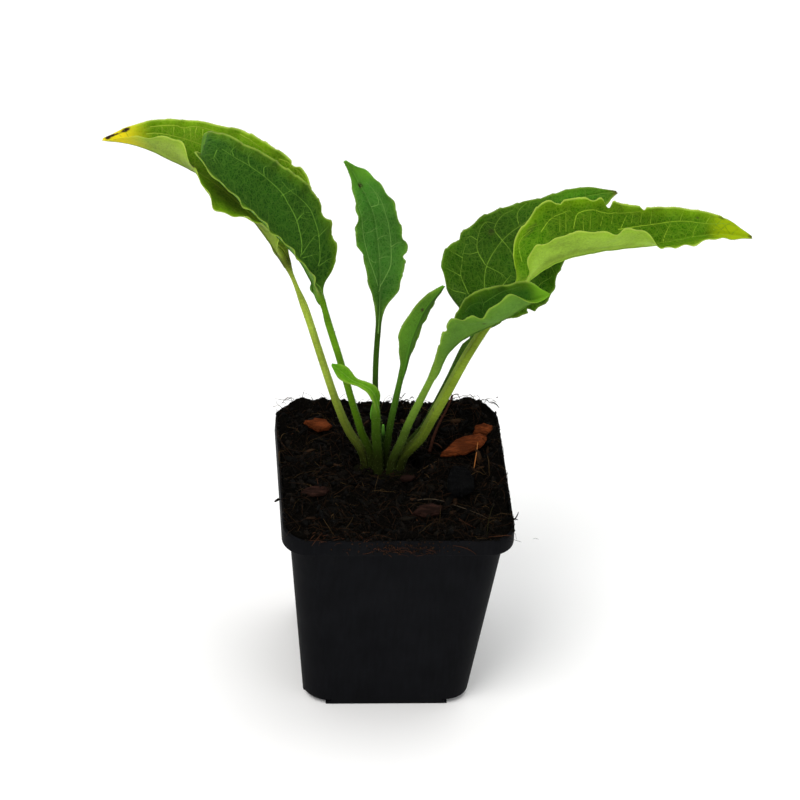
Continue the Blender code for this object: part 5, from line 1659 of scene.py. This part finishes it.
def make_litter(settings):
    """All that lies loose on the soil, the rim and the band: fibres, straws, plates and crumbs."""
    random = np.random.default_rng(5)
    paths = fibre_paths(random, settings.fibre_count, settings)
    radii = settings.fibre_width / 2 * random.uniform(0.5, 1.5, len(paths))
    browns = settings.fibre_dark, settings.fibre_brown, settings.fibre_straw
    fibres = tubes(paths, radii, tint_between(random, len(paths), browns, (10, 4, 0.8)))
    sets = [fibres, *tangles(random, settings), *straws(settings), plates(random, settings)]
    heaps = [kind(random, settings) for kind in (soil_crumbs, rim_crumbs, band_crumbs)]
    sets.append(crumbs(*map(np.concatenate, zip(*heaps)), random))
    *mesh, tint = joined(sets)
    loose = strand_finish("loose fibre", 0.8, Specular_IOR_Level=0.06)
    return stand_for(mesh_object("litter", *mesh, {"tint": tint}, (loose,)), slot="soil")


def make_crown(settings):
    """The rootstock: a knobbly dome over the CAD rootstock's oval, whose foot goes down into the soil.

    The rolled tip of the next leaf stands on it, a thin tube that narrows at its end. Its lower part is
    painted dark, as painted shade among the stalks.
    Its height falls off from the middle as the square root of 1 - r^4, and knobs and noise are added.
    """
    around = np.linspace(0, 2 * pi, 72, endpoint=False)
    share = np.linspace(0.03, 1, 24)
    r, b = np.meshgrid(share, around, indexing="ij")
    x = CROWN_CENTRE[0] + (CROWN_HALF[0] - 0.0003) * r * np.cos(b)
    y = CROWN_CENTRE[1] + (CROWN_HALF[1] - 0.0003) * r * np.sin(b)
    place = stacked(x, y, 0)
    knobs = 1 - 2 * np.abs(noise(place, 0.0032, 21))
    rough = settings.knobs * (knobs + 0.4 * noise(place, 0.0011, 22)) * (1 - 0.5 * r**4)
    dome = CROWN_TOP - 0.0008 - 0.0022 * (1 - np.sqrt(np.clip(1 - 0.96 * r**4, 0, 1)))
    top = stacked(x, y, dome + rough)[::-1]
    levels = np.linspace(top[0, :, 2].min() - 0.0004, CROWN_BOTTOM + 0.0002, 10)
    skirt = stacked(*top[0, :, :2].T, levels[::-1, None])
    points, quads, fans = closed_rings(np.concatenate([skirt, top]))
    bark = finish("rootstock", "Crumbly matter",
                  {"Dark": [0.3 * v for v in settings.root], "Light": settings.root, "Scale": 800.0},
                  bump=0.8, bump_distance=0.0005, Specular_IOR_Level=0.05)
    path = spline(np.arange(3.0), MILLIMETRE * np.array(NEXT_LEAF), np.linspace(0, 2, 24))
    tip, walls, ends, tints = tubes(path[None], [MILLIMETRE * NEXT_LEAF_WIDTH / 2], [settings.next_leaf], 10)
    # Painted shade: the next leaf's tip is dark along its lower part, down among the stalks, and bright at
    # its top
    dim = np.repeat(0.10 + 0.90 * smoothstep(np.linspace(0, 1, 24), 0.72, 0.90), 10)[:, None]
    finish_of = np.repeat([0, 1, 0, 1], [len(quads), len(walls), len(fans), len(ends)])
    *mesh, tint = joined([(points, quads, fans, np.zeros((len(points), 3))), (tip, walls, ends, dim * tints)])
    leaf = strand_finish("next leaf", 0.5, Specular_IOR_Level=0.02)
    piece = mesh_object("crown_dressed", *mesh, {"tint": tint}, (bark, leaf), finish_of)
    return stand_for(piece, "crown", slot="rootstock")


def outline_reach(draws, angle):
    """The chip's reach at any angle, with straight edges between its evenly spread corners.

    Between corners of reach a and b that lie an angle d apart, the edge's reach at an angle t past
    the first is a b sin(d) / (a sin(t) + b sin(d - t)).
    """
    apart = 2 * pi / len(draws)
    k = (angle % (2 * pi) / apart).astype(int) % len(draws)
    past = angle % (2 * pi) - k * apart
    a, b = draws[k], draws[(k + 1) % len(draws)]
    return a * b * np.sin(apart) / (b * np.sin(apart - past) + a * np.sin(past))


def make_chip(name, settings):
    """A torn flat chip, as square rings of an ovoid with layered, splintery relief.

    Its outline takes the corners listed for it, and random ones where none are listed; its thickness comes
    from the CAD chip's height.
    """
    *sizes, turn, draw, colour = CHIPS[name]
    x, y, length, width = MILLIMETRE * np.array(sizes)
    random = np.random.default_rng(draw)
    draws = 1 + random.uniform(*CHIP_REACH, CHIP_CORNERS)
    draws = np.array(CHIP_OUTLINES.get(name, draws))
    low, high = (np.array(corner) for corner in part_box(name))
    around = np.linspace(0, 2 * pi, 132, endpoint=False)
    latitude = np.linspace(-pi / 2, pi / 2, 40)[1:-1]
    a, b = np.meshgrid(latitude, around, indexing="ij")
    flat = np.abs(np.cos(a)) ** 0.16
    reach = outline_reach(draws, b) * flat * 0.99
    torn = noise(stacked(np.sin(b) * width, draw, 0), 0.0009, draw + 4)
    reach = reach * (1 - 0.10 * np.abs(torn) * np.abs(np.cos(b)) ** 2)
    px, py = length / 2 * np.cos(b) * reach, width / 2 * np.sin(b) * reach
    level = np.sign(np.sin(a)) * np.abs(np.sin(a)) ** 2.2
    place = stacked(px * 0.16, py, level * 0.004 + draw)
    splinter = 1 - 2 * np.abs(noise(place, 0.0013, draw)) + 0.6 * noise(place, 0.0005, draw + 1)
    step = np.round(3.5 * noise(stacked(px * 0.4, py, 0), 0.0035, draw + 2)) / 3
    middle, half = (low[2] + high[2]) / 2, (high[2] - low[2]) / 2
    slope = 0.22 * np.cos(b - 2.4) * flat * (level > 0)
    pz = half * level * (0.82 + 0.30 * step * (level > 0) + slope)
    pz = pz + settings.splinters * splinter * (0.3 + 0.7 * (level > -0.2)) * flat
    grow = 1 + 0.05 * noise(stacked(px * 0.4, py, pz * 2), 0.0012, draw + 3)
    px, py = px * grow, py * grow
    c, s = cos(radians(turn)), sin(radians(turn))
    points = stacked(x + c * px - s * py, y + s * px + c * py, middle + pz)
    tone = {"orange bark": settings.orange, "dull bark": settings.dull, "dark bark": settings.black}[colour]
    bark = bpy.data.materials.get(colour) or finish(
        colour, "Crumbly matter",
        {"Dark": [0.22 * value for value in tone], "Light": tone, "Scale": 620.0, "Stretch": 0.30},
        bump=0.9, bump_distance=0.0006, Specular_IOR_Level=0.04)
    piece = mesh_object(name + "_dressed", *closed_rings(points), finishes=(bark,))
    return stand_for(piece, name, slot=colour.replace(" ", "_"))


def make_dry_stalk(settings):
    """A dried stalk with lengthwise ridges: a circle with a five-fold wave, carried along its path."""
    path, thick = MILLIMETRE * np.array(STALK_PATH), MILLIMETRE * STALK_RADIUS
    knots = distances(path)
    at = np.linspace(0, knots[-1], 60)
    path = spline(knots, path, at)
    path[:, 2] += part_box("dry_stalk")[0][2] - (path[:, 2].min() - thick)
    along = unit(np.gradient(path, axis=0))
    across = unit(np.cross((0, 1, 0), along))
    turn = np.linspace(0, 2 * pi, 20, endpoint=False)
    radius = thick * np.linspace(1, 0.6, 60)[:, None]
    radius = radius * (1 + 0.12 * np.sin(5 * turn) + 0.15 * np.sin(at / 0.0011)[:, None] ** 8)
    points = path[:, None] + radius[..., None] * circle(20, across, np.cross(along, across))
    dry = finish("dry stalk", "Crumbly matter",
                 {"Dark": [0.35 * v for v in settings.stalk], "Light": settings.stalk, "Scale": 700.0},
                 bump=0.5, bump_distance=0.0003, Specular_IOR_Level=0.05)
    piece = mesh_object("dry_stalk_dressed", *closed_rings(points, path[[0, -1]]), finishes=(dry,))
    return stand_for(piece, "dry_stalk", slot="dry_stalk")


def make_stage(settings):
    """A pale floor that rises behind into a backdrop along an arc, soft lights and the camera."""
    half, depth, radius, wall = 5.0, 2.4, 0.8, 2.2
    turn = np.linspace(0, pi / 2, 17)
    profile = np.concatenate([
        [[-half, 0]],
        np.stack([depth + radius * np.sin(turn), radius * (1 - np.cos(turn))], axis=1),
        [[depth + radius, wall]],
    ])
    across = np.linspace(-half, half, 9)
    points = np.array([[(x, y, z) for x in across] for y, z in profile])
    floor = mesh_object("floor", points.reshape(-1, 3), grid_faces(len(profile), len(across)),
                        finishes=(floor_finish(settings),))

    world = bpy.data.worlds.new("studio")
    world.use_nodes = True
    background = world.node_tree.nodes["Background"]
    background.inputs["Color"].default_value = (*settings.sky, 1)
    background.inputs["Strength"].default_value = settings.sky_strength
    bpy.context.scene.world = world
    for name, place, size, power, colour in (
        ("key light", (-0.55, -0.55, 1.25), 0.9, settings.key_power, (1.0, 0.985, 0.96)),
        ("top light", (0.25, 0.35, 1.5), 1.2, settings.top_power, (1.0, 1.0, 1.0)),
        ("fill light", (1.1, -0.9, 0.6), 1.0, settings.fill_power, (0.95, 0.98, 1.0)),
    ):
        lamp = bpy.data.lights.new(name, "AREA")
        lamp.shape, lamp.size, lamp.energy, lamp.color = "DISK", size, power, colour
        light = bpy.data.objects.new(name, lamp)
        light.location = place
        aim = Vector((0, 0, 0.12)) - Vector(place)
        light.rotation_euler = aim.to_track_quat("-Z", "Y").to_euler()
        bpy.context.scene.collection.objects.link(light)

    bpy.context.scene.view_settings.view_transform = "Standard"
    camera = bpy.data.objects.new("camera", bpy.data.cameras.new("camera"))
    camera.data.lens = settings.focal_length
    camera.data.clip_end = 20
    right, up = Vector(CAMERA_RIGHT).normalized(), Vector(CAMERA_UP)
    back = right.cross(up).normalized()
    up = back.cross(right)
    turned = Matrix((right, up, back)).transposed().to_4x4()
    camera.matrix_world = Matrix.Translation(CAMERA_PLACE) @ turned
    bpy.context.scene.collection.objects.link(camera)
    bpy.context.scene.camera = camera


def floor_finish(settings):
    """Matt pale board with a faint mottle."""
    made, t, sockets = new_material("pale floor", {"Roughness": 0.9, "Specular_IOR_Level": 0.1})
    dim = [0.97 * value for value in settings.floor]
    t.feed(sockets["Base Color"], t.mix(t.noise(t.place(), 3.0, 2.0), settings.floor, dim))
    return made


def colour_setting(name, description, value):
    return FloatVectorProperty(name=name, description=description, default=value,
                               size=3, min=0, max=1, subtype="COLOR")


def length_setting(name, description, value, least=0.0):
    return FloatProperty(name=name, description=description, default=value, min=least, unit="LENGTH")


def share_setting(name, description, value):
    return FloatProperty(name=name, description=description, default=value, min=0, max=1, subtype="FACTOR")


def power_setting(name, description, value):
    return FloatProperty(name=name, description=description, default=value, min=0, unit="POWER")


def plain_setting(name, description, value):
    return FloatProperty(name=name, description=description, default=value, min=0)


def count_setting(name, description, value):
    return IntProperty(name=name, description=description, default=value, min=0)


class PotSettings(bpy.types.PropertyGroup):
    """Sizes and colours of the pot."""

    colour: colour_setting("Plastic", "Colour of the plastic", (0.0042, 0.0044, 0.0054))
    dust: colour_setting("Dust", "Colour of dried dust on the plastic", (0.010, 0.008, 0.007))
    roughness: share_setting("Roughness", "Roughness of the plastic", 0.55)
    edge: length_setting("Edge", "Radius of the rim's and the band's edges", 0.0005)
    bow: length_setting("Bow", "How far each wall bows in at half height", 0.0003)


class LeafSettings(bpy.types.PropertyGroup):
    """Sizes of what the leaves have in common."""

    thickness: length_setting("Thickness", "Thickness of the blades", 0.00045, 0.0001)
    puff: length_setting("Pillows", "How far the skin stands up between the veins", 0.00035)
    tooth_depth: length_setting("Tooth depth", "Depth of the margin's teeth", 0.0006)
    tooth_spacing: length_setting("Tooth spacing", "Distance between the teeth", 0.0065, 0.001)
    net: share_setting("Net", "Strength of the finest veins", 0.85)
    glow: share_setting("Glow", "Share of light that spreads inside the leaf", 0.2)
    hair_length: length_setting("Hair length", "Length of the stalks' bristles", 0.0009)
    hair_width: length_setting("Hair width", "Width of a bristle at its root", 0.00009)
    hair_density: plain_setting("Hair density", "Bristles for each metre of leaf", 1500)
    hair_colour: colour_setting("Hair", "Colour of the bristles", (0.20, 0.28, 0.09))


class SoilSettings(bpy.types.PropertyGroup):
    """Sizes and colours of the potting mix and of what lies on it."""

    dark: colour_setting("Dark", "Colour of the wet peat", (0.0011, 0.0009, 0.0006))
    light: colour_setting("Light", "Colour of the drier crumbs", (0.0042, 0.0030, 0.0018))
    lumps: length_setting("Lumps", "Height of the lumps", 0.0008)
    climb: length_setting("Climb", "How far the soil rises towards the rim", 0.0016)
    flake_count: count_setting("Flakes", "Number of thin torn plates", 420)
    flake_length: length_setting("Flake length", "Length of a usual plate", 0.0055, 0.001)
    crumb_count: count_setting("Crumbs", "Number of loose crumbs", 1300)
    crumb_size: length_setting("Crumb size", "Size of a usual crumb", 0.0012, 0.0002)
    fibre_count: count_setting("Fibres", "Number of loose fibres", 1700)
    fibre_length: length_setting("Fibre length", "Length of a usual fibre", 0.014, 0.001)
    fibre_width: length_setting("Fibre width", "Width of a usual fibre", 0.00018, 0.00005)
    fibre_dark: colour_setting("Dark fibre", "Colour of most fibres", (0.0045, 0.0030, 0.0019))
    fibre_brown: colour_setting("Brown fibre", "Colour of the coir", (0.020, 0.0095, 0.0042))
    fibre_straw: colour_setting("Straw", "Colour of the palest fibres", (0.060, 0.036, 0.014))


class BarkSettings(bpy.types.PropertyGroup):
    """Colours and relief of the bark chips and the dried stalk."""

    orange: colour_setting("Orange bark", "Colour of fresh bark", (0.250, 0.058, 0.015))
    dull: colour_setting("Dull bark", "Colour of older bark", (0.034, 0.014, 0.010))
    black: colour_setting("Black bark", "Colour of rotten bark", (0.0030, 0.0031, 0.0036))
    stalk: colour_setting("Dry stalk", "Colour of the dried stalk", (0.060, 0.020, 0.010))
    splinters: length_setting("Splinters", "Height of the bark's fine relief", 0.00030)


class CrownSettings(bpy.types.PropertyGroup):
    """Colour and relief of the rootstock."""

    root: colour_setting("Rootstock", "Colour of the rootstock", (0.012, 0.012, 0.004))
    next_leaf: colour_setting("Next leaf", "Colour of the next leaf's tip", (0.105, 0.290, 0.035))
    knobs: length_setting("Knobs", "Height of the rootstock's knobs", 0.0007)


class StageSettings(bpy.types.PropertyGroup):
    """The floor, the lights and the lens."""

    floor: colour_setting("Floor", "Colour of the floor", (0.97, 0.97, 0.97))
    sky: colour_setting("Sky", "Colour of the light from all round", (1.0, 1.0, 1.0))
    sky_strength: plain_setting("Sky strength", "Light from all round", 0.60)
    key_power: power_setting("Key light", "Power of the light from the left front", 11.0)
    top_power: power_setting("Top light", "Power of the light from above", 9.0)
    fill_power: power_setting("Fill light", "Power of the light from the right", 1.9)
    focal_length: FloatProperty(name="Focal length", description="Focal length of the camera",
                                default=FOCAL_LENGTH, min=10, unit="CAMERA")


class CONEFLOWER_OT_pot(bpy.types.Operator):
    """Build the square nursery pot"""

    bl_idname = "coneflower.pot"
    bl_label = "Pot"

    def execute(self, context):
        make_pot(context.scene.coneflower_pot)
        return {"FINISHED"}


class CONEFLOWER_OT_soil(bpy.types.Operator):
    """Build the potting mix, its crumbs and its fibres"""

    bl_idname = "coneflower.soil"
    bl_label = "Soil"

    def execute(self, context):
        make_soil(context.scene.coneflower_soil)
        make_litter(context.scene.coneflower_soil)
        return {"FINISHED"}


class CONEFLOWER_OT_crown(bpy.types.Operator):
    """Build the rootstock that the stalks grow from"""

    bl_idname = "coneflower.crown"
    bl_label = "Rootstock"

    def execute(self, context):
        make_crown(context.scene.coneflower_crown)
        return {"FINISHED"}


class CONEFLOWER_OT_bark(bpy.types.Operator):
    """Build the bark chips and the dried stalk"""

    bl_idname = "coneflower.bark"
    bl_label = "Bark"

    def execute(self, context):
        for name in CHIPS:
            make_chip(name, context.scene.coneflower_bark)
        make_dry_stalk(context.scene.coneflower_bark)
        return {"FINISHED"}


class CONEFLOWER_OT_leaves(bpy.types.Operator):
    """Build every leaf with its stalk, veins and hairs"""

    bl_idname = "coneflower.leaves"
    bl_label = "Leaves"

    def execute(self, context):
        for name in LEAVES:
            make_leaf(name, context.scene.coneflower_leaf)
        return {"FINISHED"}


class CONEFLOWER_OT_stage(bpy.types.Operator):
    """Set up the floor, the lights and the camera"""

    bl_idname = "coneflower.stage"
    bl_label = "Stage"

    def execute(self, context):
        make_stage(context.scene.coneflower_stage)
        return {"FINISHED"}


OPERATORS = (
    CONEFLOWER_OT_pot,
    CONEFLOWER_OT_soil,
    CONEFLOWER_OT_crown,
    CONEFLOWER_OT_bark,
    CONEFLOWER_OT_leaves,
    CONEFLOWER_OT_stage,
)
SETTINGS = {
    "coneflower_pot": PotSettings,
    "coneflower_soil": SoilSettings,
    "coneflower_crown": CrownSettings,
    "coneflower_bark": BarkSettings,
    "coneflower_leaf": LeafSettings,
    "coneflower_stage": StageSettings,
}


class CONEFLOWER_PT_panel(bpy.types.Panel):
    """The pieces and their settings, in the order in which they are built."""

    bl_idname = "CONEFLOWER_PT_panel"
    bl_label = "Potted coneflower"
    bl_space_type = "VIEW_3D"
    bl_region_type = "UI"
    bl_category = "Coneflower"

    def draw(self, context):
        for name, kind in SETTINGS.items():
            box = self.layout.box()
            for key in kind.__annotations__:
                box.prop(getattr(context.scene, name), key)
        for operator in OPERATORS:
            self.layout.operator(operator.bl_idname)


def register():
    for kind in (*SETTINGS.values(), *OPERATORS, CONEFLOWER_PT_panel):
        bpy.utils.register_class(kind)
    for name, kind in SETTINGS.items():
        setattr(bpy.types.Scene, name, PointerProperty(type=kind))


def unregister():
    for name in SETTINGS:
        delattr(bpy.types.Scene, name)
    for kind in (CONEFLOWER_PT_panel, *reversed(OPERATORS), *SETTINGS.values()):
        bpy.utils.unregister_class(kind)


def main():
    register()
    for operator in OPERATORS:
        group, name = operator.bl_idname.split(".")
        getattr(getattr(bpy.ops, group), name)()


if __name__ == "__main__":
    main()
